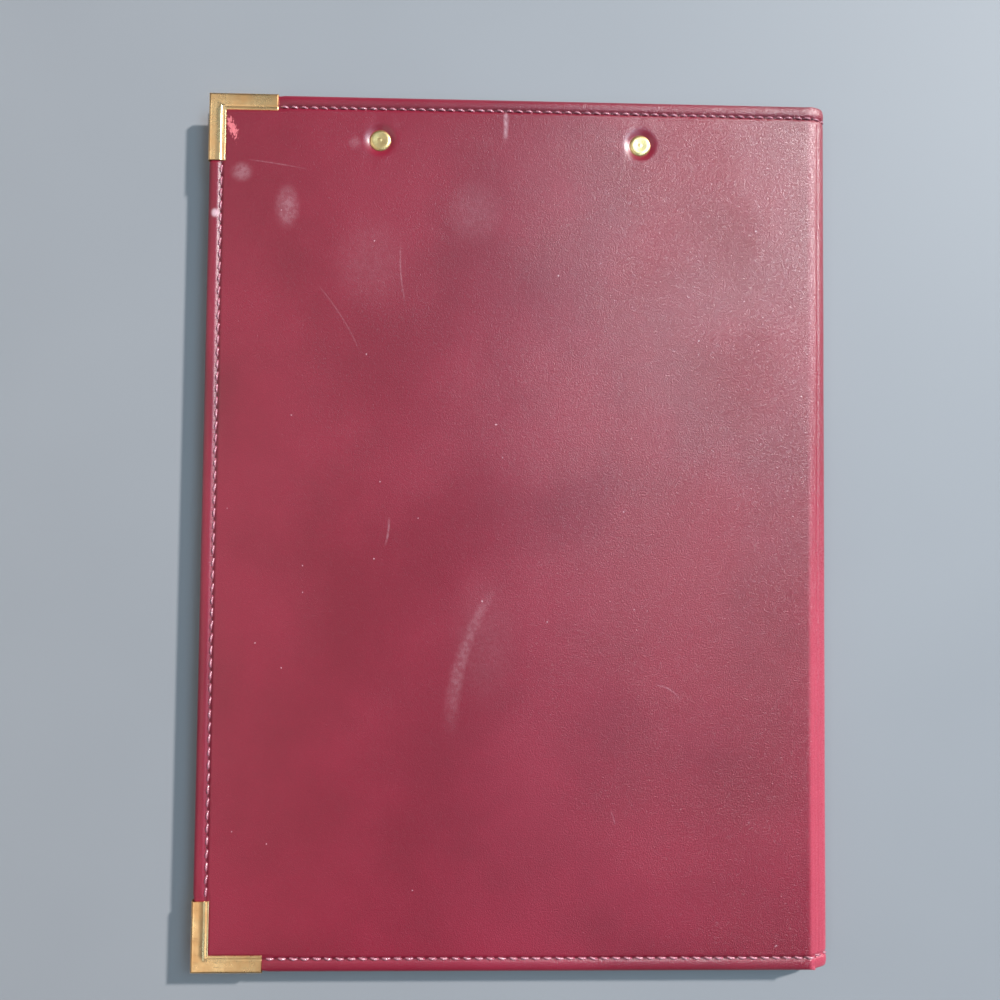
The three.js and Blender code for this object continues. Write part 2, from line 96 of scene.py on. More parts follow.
class Value:
    """A shader socket that takes part in Python expressions."""

    def __init__(self, shader: Shader, socket: bpy.types.NodeSocket) -> None:
        """Keep the shader and the socket."""
        self.shader = shader
        self.socket = socket

    def _math(self, operation: str, first: object, second: object) -> Value:
        """Add one Math node on two values."""
        node = self.shader.add("ShaderNodeMath", {"operation": operation}, {0: first, 1: second})
        return Value(self.shader, node.outputs[0])

    def __add__(self, other: object) -> Value:
        """Sum."""
        return self._math("ADD", self, other)

    def __radd__(self, other: object) -> Value:
        """Sum with the number first."""
        return self._math("ADD", other, self)

    def __sub__(self, other: object) -> Value:
        """Difference."""
        return self._math("SUBTRACT", self, other)

    def __rsub__(self, other: object) -> Value:
        """Difference with the number first."""
        return self._math("SUBTRACT", other, self)

    def __mul__(self, other: object) -> Value:
        """Product."""
        return self._math("MULTIPLY", self, other)

    def __rmul__(self, other: object) -> Value:
        """Product with the number first."""
        return self._math("MULTIPLY", other, self)

    def __truediv__(self, other: object) -> Value:
        """Quotient."""
        return self._math("DIVIDE", self, other)

    def __pow__(self, other: object) -> Value:
        """Power."""
        return self._math("POWER", self, other)

    def __abs__(self) -> Value:
        """Absolute value."""
        return self._math("ABSOLUTE", self, 0.0)

    def __rtruediv__(self, other: object) -> Value:
        """Quotient with the number first."""
        return self._math("DIVIDE", other, self)

    def sine(self) -> Value:
        """Sine."""
        return self._math("SINE", self, 0.0)

    def least(self, other: object) -> Value:
        """Smaller of the two."""
        return self._math("MINIMUM", self, other)

    def most(self, other: object) -> Value:
        """Larger of the two."""
        return self._math("MAXIMUM", self, other)

    def fade(self, low: float, high: float, start: float = 0.0, end: float = 1.0) -> Value:
        """Ease from start to end as the value goes from low to high.

        Args:
            low: Value at which the fade starts.
            high: Value at which it ends.
            start: Result at low and below.
            end: Result at high and above.

        Returns:
            The faded value.
        """
        node = self.shader.add(
            "ShaderNodeMapRange",
            {"interpolation_type": "SMOOTHSTEP"},
            {"Value": self, "From Min": low, "From Max": high, "To Min": start, "To Max": end},
        )
        return Value(self.shader, node.outputs[0])


class Shader:
    """A material's node tree, with the few kinds of node that the finishes use."""

    def __init__(self, name: str, roughness: float, metallic: float = 0.0) -> None:
        """Make the material with its Principled shader.

        Args:
            name: Name of the material.
            roughness: Roughness, where nothing is fed into it.
            metallic: 1 for bare metal.
        """
        self.material = bpy.data.materials.new(name)
        self.material.use_nodes = True
        self.tree = self.material.node_tree
        self.principled = next(n for n in self.tree.nodes if n.type == "BSDF_PRINCIPLED")
        self.principled.inputs["Roughness"].default_value = roughness
        self.principled.inputs["Metallic"].default_value = metallic
        self._millimetres: bpy.types.NodeSocket | None = None

    def add(self, kind: str, settings: dict, inputs: dict) -> bpy.types.Node:
        """Add a node.

        Args:
            kind: Node type.
            settings: Properties of the node, set before its sockets.
            inputs: Numbers, tuples, sockets or Values, by socket name or index.

        Returns:
            The new node.
        """
        node = self.tree.nodes.new(kind)
        for key, setting in settings.items():
            setattr(node, key, setting)
        for key, given in inputs.items():
            self._feed(node.inputs[key], given)
        return node

    def _feed(self, socket: bpy.types.NodeSocket, given: object) -> None:
        """Set or link one input socket.

        Args:
            socket: The input.
            given: Number, tuple, socket or Value for it.
        """
        if isinstance(given, Value):
            self.tree.links.new(given.socket, socket)
        elif isinstance(given, bpy.types.NodeSocket):
            self.tree.links.new(given, socket)
        elif socket.type == "RGBA" and len(given) == 3:
            socket.default_value = (*given, 1.0)
        else:
            socket.default_value = given

    def place(self) -> bpy.types.NodeSocket:
        """Place on the piece, in millimetres of the shared frame.

        Returns:
            The vector socket, made once for each material.
        """
        if self._millimetres is None:
            where = self.add("ShaderNodeTexCoord", {}, {})
            scaled = self.add(
                "ShaderNodeVectorMath",
                {"operation": "SCALE"},
                {0: where.outputs["Object"], "Scale": 1.0 / MM},
            )
            self._millimetres = scaled.outputs[0]
        return self._millimetres

    def axes(self) -> tuple[Value, Value, Value]:
        """Split the place into its axes.

        Returns:
            X, y and z in millimetres.
        """
        node = self.add("ShaderNodeSeparateXYZ", {}, {0: self.place()})
        x, y, z = (Value(self, out) for out in node.outputs)
        return x, y, z

    def stretched(self, factors: tuple[float, float, float]) -> bpy.types.NodeSocket:
        """Scale each axis of the place by its factor."""
        node = self.add("ShaderNodeVectorMath", {"operation": "MULTIPLY"}, {0: self.place(), 1: factors})
        return node.outputs[0]

    def shifted(self, vector: bpy.types.NodeSocket, wobble: float, scale: float) -> bpy.types.NodeSocket:
        """Push a vector about by soft noise.

        Args:
            vector: Vector to push.
            wobble: Length of the push, in millimetres.
            scale: Noise features for each millimetre.

        Returns:
            The pushed vector.
        """
        noise = self.add("ShaderNodeTexNoise", {}, {"Vector": vector, "Scale": scale, "Detail": 2.0})
        centred = self.add(
            "ShaderNodeVectorMath", {"operation": "SUBTRACT"}, {0: noise.outputs["Color"], 1: (0.5, 0.5, 0.5)}
        )
        pushed = self.add("ShaderNodeVectorMath", {"operation": "SCALE"}, {0: centred.outputs[0], "Scale": wobble})
        total = self.add("ShaderNodeVectorMath", {"operation": "ADD"}, {0: vector, 1: pushed.outputs[0]})
        return total.outputs[0]

    def noise(self, scale: float, detail: float = 3.0, vector: bpy.types.NodeSocket | None = None) -> Value:
        """Add soft noise.

        Args:
            scale: Features for each millimetre.
            detail: Octaves.
            vector: Place to take it at, or None for the piece's own.

        Returns:
            The noise, from 0 to 1.
        """
        given = {"Vector": vector or self.place(), "Scale": scale, "Detail": detail}
        return Value(self, self.add("ShaderNodeTexNoise", {}, given).outputs[0])

    def cells(self, scale: float, vector: bpy.types.NodeSocket) -> Value:
        """Add cells and give the distance to the middle of each."""
        node = self.add("ShaderNodeTexVoronoi", {"feature": "F1"}, {"Vector": vector, "Scale": scale})
        return Value(self, node.outputs["Distance"])

    def mix(self, factor: object, first: object, second: object) -> bpy.types.NodeSocket:
        """Mix two colours."""
        node = self.add("ShaderNodeMix", {"data_type": "RGBA"}, {"Factor": factor, 6: first, 7: second})
        return node.outputs[2]

    def tinted(self, colour: object, shade: Value) -> bpy.types.NodeSocket:
        """Scale a colour's brightness by a value."""
        node = self.add("ShaderNodeVectorMath", {"operation": "SCALE"}, {0: colour, "Scale": shade})
        return node.outputs[0]

    def finish(self, colour: object, roughness: Value | None = None, height: Value | None = None,
               depth: float = 0.0) -> None:
        """Feed the Principled shader.

        Args:
            colour: Base colour socket.
            roughness: Roughness that varies, or None to keep the set one.
            height: Bump height from 0 to 1, or None.
            depth: Height of the bump in metres.
        """
        self._feed(self.principled.inputs["Base Color"], colour)
        if roughness is not None:
            self._feed(self.principled.inputs["Roughness"], roughness)
        if height is not None:
            bump = self.add("ShaderNodeBump", {}, {"Height": height, "Distance": depth, "Strength": 1.0})
            self._feed(self.principled.inputs["Normal"], bump.outputs[0])


# Finishes


@dataclass(frozen=True)
class Smudge:
    """A soft pale patch on the back cover, placed from the fore-edge and the top hem in millimetres."""

    along: float
    down: float
    half_width: float
    half_height: float
    strength: float
    solid_below: float = 2.5

    def mask(self, x: Value, y: Value, broken: Value) -> Value:
        """Show where the patch is.

        Args:
            x: Distance from the fore-edge.
            y: Distance above the top hem, below zero on the cover.
            broken: Uneven mask that breaks up all but the smallest patches.

        Returns:
            The mask, 0 outside the patch.
        """
        across = (x - self.along) / self.half_width
        down = (y + self.down) / self.half_height
        reach = (across * across + down * down) ** 0.5
        return reach.fade(0.2, 1.0, self.strength, 0.0) * (broken if self.half_width > self.solid_below else 1.0)


@dataclass(frozen=True)
class Scratch:
    """A curved pale line on the back cover, from one end to the other in millimetres."""

    start: tuple[float, float]
    end: tuple[float, float]
    bend: float
    width: float
    strength: float

    def mask(self, x: Value, y: Value, broken: Value) -> Value:
        """Show where the line is.

        Args:
            x: Distance from the fore-edge.
            y: Distance above the top hem, below zero on the cover.
            broken: Uneven mask that breaks the line up.

        Returns:
            The mask, 0 beside the line.
        """
        run = Vector((self.end[0] - self.start[0], self.start[1] - self.end[1]))
        length = run.length
        run.normalize()
        dx = x - self.start[0]
        dy = y + self.start[1]
        along = (dx * run.x + dy * run.y) / length
        side = dy * run.x - dx * run.y
        bow = along * (1.0 - along) * (4.0 * self.bend)
        near = abs(side - bow).fade(0.0, self.width, 1.0, 0.0)
        ends = along.fade(0.0, 0.25) * along.fade(0.6, 1.0, 1.0, 0.0)
        return near * ends * broken * self.strength


@dataclass(frozen=True)
class Leatherette:
    """Burgundy leatherette with a fine crinkled grain, painted shade in the sewn grooves, a painted highlight on the
    fold, and wear.
    """

    name: str
    hem: float
    fore_edge: float | None = None
    deep: Colour = (0.174, 0.003, 0.017)
    light: Colour = (0.233, 0.006, 0.026)
    # Painted highlight: colour of the lit band round the spine's fold
    drawn: Colour = (0.5, 0.07, 0.11)
    pale: Colour = (0.6, 0.38, 0.42)
    torn: Colour = (0.66, 0.15, 0.17)
    roughness: float = 0.34
    ior: float = 1.64
    bump_depth: float = 0.00008
    crinkle_scale: float = 1.9
    pebble_scale: float = 2.2
    fine_scale: float = 4.2
    wrinkle_scale: float = 1.2
    mottle_scale: float = 0.022
    patch_scale: float = 0.025
    fold_reach: tuple[float, float] = (107.6, 109.6)
    fold_span: tuple[float, float] = (-70.0, 60.0)
    wrinkle_reach: tuple[float, float] = (35.0, 108.0)
    seam_inset: float = 4.8
    tear_inset: tuple[float, float] = (8.6, 13.0)
    tear_size: tuple[float, float] = (1.6, 4.4)
    tear_lean: float = 0.32
    calm_reach: tuple[float, float] = (5.0, 8.0)
    outer_face: tuple[float, float] = (9.0, 9.6)
    rivets: tuple[tuple[float, float], ...] = ()
    smudges: tuple[Smudge, ...] = ()
    scratches: tuple[Scratch, ...] = ()
    broken_scale: float = 0.7
    speck_scale: float = 0.1

    def build(self) -> bpy.types.Material:
        """Make the material.

        Returns:
            The finished material.
        """
        shader = Shader(self.name, self.roughness)
        shader.principled.inputs["IOR"].default_value = self.ior
        x, y, z = shader.axes()
        warped = shader.shifted(shader.place(), 0.7, 1.1)
        crinkle = (1.0 - abs(shader.noise(self.crinkle_scale, 2.0, warped) - 0.5) * 7.0).most(0.0)
        pebble = shader.cells(self.pebble_scale, warped)
        fine = shader.noise(self.fine_scale, 1.0)
        wrinkles = shader.noise(self.wrinkle_scale, 2.0, shader.stretched((1.0, 0.06, 1.0)))
        wrinkles = (1.0 - abs(wrinkles - 0.5) * 14.0).most(0.0) * x.fade(*self.wrinkle_reach, 0.0, 0.35)
        mottle = shader.noise(self.mottle_scale, 4.0).fade(0.25, 0.75)
        fold = x.fade(*self.fold_reach) * y.fade(*self.fold_span, 1.0, 0.25) * (0.72 + wrinkles * 0.4)

        # The grain is coarser and shinier toward the spine, and nearly gone where the sheet is drawn tight
        strength = shader.noise(self.patch_scale, 1.0).fade(0.4, 0.62, 0.75, 1.0) * x.fade(-30.0, 90.0, 0.8, 2.2)
        height = (crinkle * 0.4 + pebble * 0.55) * strength + fine * 0.35 - wrinkles * 0.6
        height = height * (1.0 - self._calm(x, y, fold) * 0.85)
        rough = (self.roughness - 0.04) + fine * 0.08 + mottle * 0.04
        rough = rough - crinkle * x.fade(0.0, 95.0, 0.0, 0.06) - fold * 0.08

        colour = shader.mix(mottle, self.deep, self.light)
        # Painted shade: the y term darkens the leatherette slightly toward the top hem
        colour = shader.tinted(colour, (0.92 + pebble * 0.16 - y * 0.0003) * self._groove(x, y))
        # Painted highlight along the fold, stronger toward the lower end of the spine
        colour = shader.mix(fold.least(1.0), colour, self.drawn)
        if self.smudges:
            marks = self._marks(shader, fine) * z.fade(*self.outer_face)
            colour = shader.mix(marks.least(0.9), colour, self.pale)
            colour = self._torn(shader, colour)
            rough = rough + marks * 0.14
        shader.finish(colour, rough, height, self.bump_depth)
        return shader.material

    def _calm(self, x: Value, y: Value, fold: Value) -> Value:
        """Where the leatherette is drawn tight and its grain is nearly gone.

        Args:
            x: Place across the cover.
            y: Place along the cover.
            fold: Mask of the fold.

        Returns:
            1 where there is no grain, 0 where it is full.
        """
        total = fold * 0.8
        for rivet_x, rivet_y in self.rivets:
            across, along = x - rivet_x, y - rivet_y
            total = total.most(((across * across + along * along) ** 0.5).fade(*self.calm_reach, 1.0, 0.0))
        return total.least(1.0)

    def _groove(self, x: Value, y: Value) -> Value:
        """Paint shade into the seam's groove, darker along its line.

        Args:
            x: Place across the cover.
            y: Place along the cover.

        Returns:
            The painted shade, 1 away from the groove.
        """
        inset = self.hem - abs(y)
        if self.fore_edge is not None:
            inset = inset.least(x - self.fore_edge)
        return abs(inset - self.seam_inset).fade(0.2, 0.8, 0.7, 1.0)

    def _marks(self, shader: Shader, fine: Value) -> Value:
        """Mask of the pale marks.

        Args:
            shader: The material's shader.
            fine: Fine grain that breaks the marks up.

        Returns:
            The mask, 0 where there is no mark.
        """
        x, y, _ = shader.axes()
        x, y = x - self.fore_edge, y - self.hem
        broken = (shader.noise(self.broken_scale, 4.0) * 0.75 + fine * 0.25).fade(0.42, 0.58, 0.45, 1.0)
        wandering = shader.shifted(shader.place(), 3.0, 0.2)
        specks = shader.cells(self.speck_scale, wandering).fade(0.016, 0.036, 0.85, 0.0)
        total = specks * shader.noise(0.05, 1.0).fade(0.42, 0.5)
        for mark in (*self.smudges, *self.scratches):
            total = total.most(mark.mask(x, y, broken))
        return total

    def _torn(self, shader: Shader, colour: bpy.types.NodeSocket) -> bpy.types.NodeSocket:
        """Add the torn patch beside the upper metal corner, where the red backing shows.

        Args:
            shader: The material's shader.
            colour: Colour of the leatherette so far.

        Returns:
            The colour with the patch.
        """
        x, y, z = shader.axes()
        fibres = shader.noise(1.3, 3.0, shader.stretched((1.5, 0.55, 1.0)))
        below = y - (self.hem - self.tear_inset[1])
        across = (x - (self.fore_edge + self.tear_inset[0]) + below * self.tear_lean) / self.tear_size[0]
        down = below / self.tear_size[1]
        reach = (across * across + down * down) ** 0.5 + (fibres - 0.5) * 3.0
        patch = reach.fade(0.78, 0.92, 1.0, 0.0) * z.fade(*self.outer_face)
        shade = shader.tinted(self.torn, 0.55 + fibres * 0.9)
        return shader.mix(patch, colour, shade)


@dataclass(frozen=True)
class Thread:
    """Twisted polyester thread."""

    name: str = "seam_thread"
    colour: Colour = (0.26, 0.02, 0.05)
    sheen_colour: Colour = (0.6, 0.26, 0.32)
    ior: float = 1.8
    roughness: float = 0.24
    twist_scale: float = 1.3
    bump_depth: float = 0.00006

    def build(self) -> bpy.types.Material:
        """Make the material.

        Returns:
            The finished material.
        """
        shader = Shader(self.name, self.roughness)
        shader.principled.inputs["IOR"].default_value = self.ior
        given = {"Vector": shader.place(), "Scale": self.twist_scale}
        turn = shader.add("ShaderNodeTexWave", {"bands_direction": "DIAGONAL"}, given)
        strand = Value(shader, turn.outputs[1])
        colour = shader.mix(strand, self.colour, self.sheen_colour)
        shader.finish(colour, 0.2 + strand * 0.12, strand, self.bump_depth)
        return shader.material


@dataclass(frozen=True)
class NeedleHole:
    """Painted shade in a needle hole: a dark lens where the hole lies in shadow."""

    name: str = "needle_hole"
    dark: Colour = (0.03, 0.004, 0.009)
    light: Colour = (0.06, 0.008, 0.016)
    roughness: float = 0.8

    def build(self) -> bpy.types.Material:
        """Make the material.

        Returns:
            The finished material.
        """
        shader = Shader(self.name, self.roughness)
        shader.finish(shader.mix(shader.noise(2.0, 2.0), self.dark, self.light))
        return shader.material


@dataclass(frozen=True)
class Metal:
    """Plated or bare metal with fine scratches and a little tarnish."""

    name: str
    bright: Colour
    dull: Colour
    roughness: float
    grain: tuple[float, float, float] = (1.0, 1.0, 1.0)
    cloud_scale: float = 0.12
    drawn_scale: float = 1.4
    scratch_scale: float = 0.9
    bump_depth: float = 0.00004

    def build(self) -> bpy.types.Material:
        """Make the material.

        Returns:
            The finished material.
        """
        shader = Shader(self.name, self.roughness, 1.0)
        cloud = shader.noise(self.cloud_scale, 5.0).fade(0.32, 0.7)
        drawn = shader.noise(self.drawn_scale, 4.0, shader.stretched(self.grain))
        scratch = shader.noise(self.scratch_scale, 2.0, shader.stretched((0.25, 6.0, 1.0))).fade(0.66, 0.7)
        colour = shader.mix(cloud, self.bright, self.dull)
        colour = shader.tinted(colour, 0.9 + drawn * 0.2)
        rough = self.roughness + cloud * 0.08 + scratch * 0.12 + drawn * 0.06
        shader.finish(colour, rough, drawn * 0.6 - scratch * 0.2, self.bump_depth)
        return shader.material


@dataclass(frozen=True)
class Lining:
    """Matt lining sheet with a faint linen weave."""

    name: str = "lining_sheet"
    dark: Colour = (0.07, 0.012, 0.02)
    light: Colour = (0.13, 0.024, 0.038)
    roughness: float = 0.72
    threads: float = 9.0
    slub_scale: float = 0.7
    cloud_scale: float = 0.02
    bump_depth: float = 0.00008

    def build(self) -> bpy.types.Material:
        """Make the material.

        Returns:
            The finished material.
        """
        shader = Shader(self.name, self.roughness)
        x, y, _ = shader.axes()
        weave = (x * self.threads).sine() * (y * self.threads).sine() * 0.5 + 0.5
        slub = shader.noise(self.slub_scale, 3.0, shader.stretched((0.2, 1.5, 1.0)))
        cloud = shader.noise(self.cloud_scale, 4.0).fade(0.3, 0.7)
        tone = weave * 0.45 + slub * 0.35 + cloud * 0.2
        colour = shader.mix(tone, self.dark, self.light)
        shader.finish(colour, 0.62 + slub * 0.16, weave * 0.6 + slub * 0.4, self.bump_depth)
        return shader.material


@dataclass(frozen=True)
class Greyboard:
    """Pressed grey board with short fibres."""

    name: str = "greyboard"
    dark: Colour = (0.2, 0.18, 0.15)
    light: Colour = (0.34, 0.31, 0.26)
    fleck: Colour = (0.08, 0.07, 0.06)
    fibre_scale: float = 1.8
    fleck_scale: float = 0.6
    roughness: float = 0.92
    bump_depth: float = 0.0001

    def build(self) -> bpy.types.Material:
        """Make the material.

        Returns:
            The finished material.
        """
        shader = Shader(self.name, self.roughness)
        fibre = shader.noise(self.fibre_scale, 5.0, shader.stretched((1.0, 0.4, 3.0)))
        flecks = shader.cells(self.fleck_scale, shader.place()).fade(0.05, 0.12, 1.0, 0.0)
        colour = shader.mix(fibre, self.dark, self.light)
        colour = shader.mix(flecks * 0.5, colour, self.fleck)
        shader.finish(colour, 0.86 + fibre * 0.1, fibre, self.bump_depth)
        return shader.material


@dataclass(frozen=True)
class PaleTable:
    """Plain pale surface that the folder lies on."""

    name: str = "pale_table"
    dark: Colour = (0.24, 0.245, 0.262)
    light: Colour = (0.27, 0.275, 0.292)
    roughness: float = 0.7

    def build(self) -> bpy.types.Material:
        """Make the material.

        Returns:
            The finished material.
        """
        shader = Shader(self.name, self.roughness)
        cloud = shader.noise(0.01, 2.0)
        shader.finish(shader.mix(cloud, self.dark, self.light), 0.66 + cloud * 0.06)
        return shader.material


# Mesh helpers


def new_object(name: str, points: Array, faces: Sequence[Sequence[int]], material: bpy.types.Material,
               sharp: float = 40.0, weld: bool = True) -> bpy.types.Object:
    """Make a mesh object with smooth faces, sharp only past an angle.

    Args:
        name: Name of the object.
        points: Vertices in metres, one row each.
        faces: Vertex numbers of each face.
        material: Finish of the whole piece.
        sharp: Angle in degrees past which an edge is sharp.
        weld: Whether to join vertices that lie in the same place.

    Returns:
        The object, linked into the scene.
    """
    mesh = bpy.data.meshes.new(name)
    mesh.from_pydata([tuple(p) for p in points], [], [tuple(f) for f in faces])
    work = bmesh.new()
    work.from_mesh(mesh)
    if weld:
        bmesh.ops.remove_doubles(work, verts=work.verts, dist=2e-7)
        bmesh.ops.dissolve_degenerate(work, edges=work.edges, dist=1e-8)
    bmesh.ops.recalc_face_normals(work, faces=work.faces)
    work.to_mesh(mesh)
    work.free()
    mesh.materials.append(material)
    mesh.polygons.foreach_set("use_smooth", [True] * len(mesh.polygons))
    mesh.set_sharp_from_angle(angle=math.radians(sharp))
    piece = bpy.data.objects.new(name, mesh)
    bpy.context.scene.collection.objects.link(piece)
    return piece


def grid_faces(rows: int, columns: int, first: int = 0, flip: bool = False) -> list[tuple[int, ...]]:
    """Join a grid of vertices by quads.

    Args:
        rows: Number of rows.
        columns: Number of columns.
        first: Number of the grid's first vertex.
        flip: Whether the quads look the other way.

    Returns:
        The quads.
    """
    faces = []
    for i in range(rows - 1):
        for j in range(columns - 1):
            a = first + i * columns + j
            quad = (a, a + 1, a + columns + 1, a + columns)
            faces.append(quad[::-1] if flip else quad)
    return faces


def shell(name: str, outer: Array, inner: Array, material: bpy.types.Material) -> bpy.types.Object:
    """Close two grids of the same size into one body.

    Args:
        name: Name of the object.
        outer: Outer surface, rows by columns by three.
        inner: Inner surface, the same size.
        material: Finish.

    Returns:
        The closed object.
    """
    rows, columns, _ = outer.shape
    count = rows * columns
    points = np.concatenate([outer.reshape(-1, 3), inner.reshape(-1, 3)])
    faces = grid_faces(rows, columns) + grid_faces(rows, columns, count, True)
    rim = [(0, j) for j in range(columns)]
    rim += [(i, columns - 1) for i in range(1, rows)]
    rim += [(rows - 1, j) for j in range(columns - 2, -1, -1)]
    rim += [(i, 0) for i in range(rows - 2, 0, -1)]
    numbers = [i * columns + j for i, j in rim]
    for a, b in zip(numbers, numbers[1:] + numbers[:1]):
        faces.append((a, a + count, b + count, b))
    return new_object(name, points, faces, material)


def lathe(name: str, profile: Sequence[tuple[float, float]], centre: Vector, material: bpy.types.Material,
          steps: int = 72, sharp: float = 50.0) -> bpy.types.Object:
    """Turn a profile of radius and height about a vertical axis.

    Args:
        name: Name of the object.
        profile: Radius and height in millimetres, from axis to axis.
        centre: Place of height zero on the axis, in metres.
        material: Finish.
        steps: Faces round the axis.
        sharp: Angle past which an edge is sharp.

    Returns:
        The turned object.
    """
    rings = []
    for radius, height in profile:
        angles = np.linspace(0.0, 2 * math.pi, steps, endpoint=False)
        ring = np.stack([radius * np.cos(angles), radius * np.sin(angles), np.full(steps, height)], 1)
        rings.append(ring * MM + np.array(centre))
    faces = []
    for i in range(len(profile) - 1):
        for j in range(steps):
            k = (j + 1) % steps
            faces.append((i * steps + j, i * steps + k, (i + 1) * steps + k, (i + 1) * steps + j))
    return new_object(name, np.concatenate(rings), faces, material, sharp)


def spaced(low: float, high: float, fine_low: float, fine_high: float, fine: float, coarse: float) -> Array:
    """Places from low to high, close together within a reach of each end.

    Args:
        low: First place.
        high: Last place.
        fine_low: Length of the close stretch at the low end.
        fine_high: Length of the close stretch at the high end.
        fine: Step in the close stretches.
        coarse: Step between them.

    Returns:
        The places.
    """
    first = np.linspace(low, low + fine_low, max(2, round(fine_low / fine) + 1))
    last = np.linspace(high - fine_high, high, max(2, round(fine_high / fine) + 1))
    middle = np.linspace(first[-1], last[0], max(2, round((last[0] - first[-1]) / coarse) + 1))
    return np.unique(np.concatenate([first, middle, last]).round(5))


def swell(place: Array, seed: int, wavelength: float) -> Array:
    """Make a slow uneven rise and fall along a length.

    Args:
        place: Places along the length.
        seed: Seed of its waves.
        wavelength: Length of its longest wave.

    Returns:
        The rise, between about -1 and 1.
    """
    draw = random.Random(seed)
    total = np.zeros_like(place)
    for octave in range(4):
        phase = draw.uniform(0.0, 2 * math.pi)
        stretch = wavelength / (1.0 + octave * draw.uniform(0.8, 1.2))
        total = total + np.sin(place * 2 * math.pi / stretch + phase) / (1.3 + octave)
    return total / 1.6


def smooth(share: Array) -> Array:
    """Ease from 0 to 1 as the share goes from 0 to 1."""
    held = np.clip(share, 0.0, 1.0)
    return held * held * (3.0 - 2.0 * held)


def ridge(place: Array, centre: object, half: float) -> Array:
    """Rise to 1 at a centre and fall away on both sides over a half width."""
    return np.exp(-(((place - centre) / half) ** 2))


# The object


@dataclass(frozen=True)
class Layout:
    """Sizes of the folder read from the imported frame, in millimetres."""

    fold: float
    apex: float
    floor: float
    ceiling: float
    half_length: float
    cover: float
    fore_edges: dict[Side, float]
    skin_end: float
    board_end: float
    seam_inset: float = 4.8
    groove_half: float = 0.72
    bead_inset: float = 2.5
    bead_half: float = 1.25
    bow: float = 0.7
    bow_half: float = 75.0
    bow_reach: float = 110.0
    shoulder: float = 0.3
    shoulder_reach: float = 11.0
    sink_least: float = 0.1
    sink_more: float = 0.7
    sink_reach: float = 1.6
    sink_reach_more: float = 1.8
    lower_from: float = 80.0

    @classmethod
    def from_frame(cls) -> Layout:
        """Read the sizes from the CAD nodes' boxes.

        Returns:
            The layout.
        """
        spine_low, spine_high = (np.array(v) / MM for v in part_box("spine_skin"))
        back_low, back_high = (np.array(v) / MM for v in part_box("back_cover_skin"))
        front_low, _ = (np.array(v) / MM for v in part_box("front_cover_skin"))
        _, board_high = (np.array(v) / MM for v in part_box("back_board"))
        return cls(
            fold=spine_low[0],
            apex=spine_high[0],
            floor=spine_low[2],
            ceiling=spine_high[2],
            half_length=spine_high[1],
            cover=back_high[2] - back_low[2],
            fore_edges={Side.BACK: back_low[0], Side.FRONT: front_low[0]},
            skin_end=back_high[0],
            board_end=board_high[0],
        )

    @property
    def radius(self) -> float:
        """Outer radius of the closed spine."""
        return (self.ceiling - self.floor) / 2

    @property
    def middle(self) -> float:
        """Height of the middle of the closed folder."""
        return (self.ceiling + self.floor) / 2

    def face(self, side: Side) -> float:
        """Height of a cover's outer face."""
        return self.ceiling if side is Side.BACK else self.floor

    def lower(self, y: Array) -> Array:
        """Ease from 0 in the upper part of the spine to 1 in its lower part."""
        return smooth((self.lower_from - y) / (2 * self.lower_from))

    def fold_sink(self, y: Array) -> tuple[Array, Array]:
        """Say how far the leatherette rounds over before the fold, which grows toward the lower end.

        Args:
            y: Places along the spine.

        Returns:
            The sink at the fold and the length over which it comes in.
        """
        lower = self.lower(y)
        return self.sink_least + self.sink_more * lower, self.sink_reach + self.sink_reach_more * lower


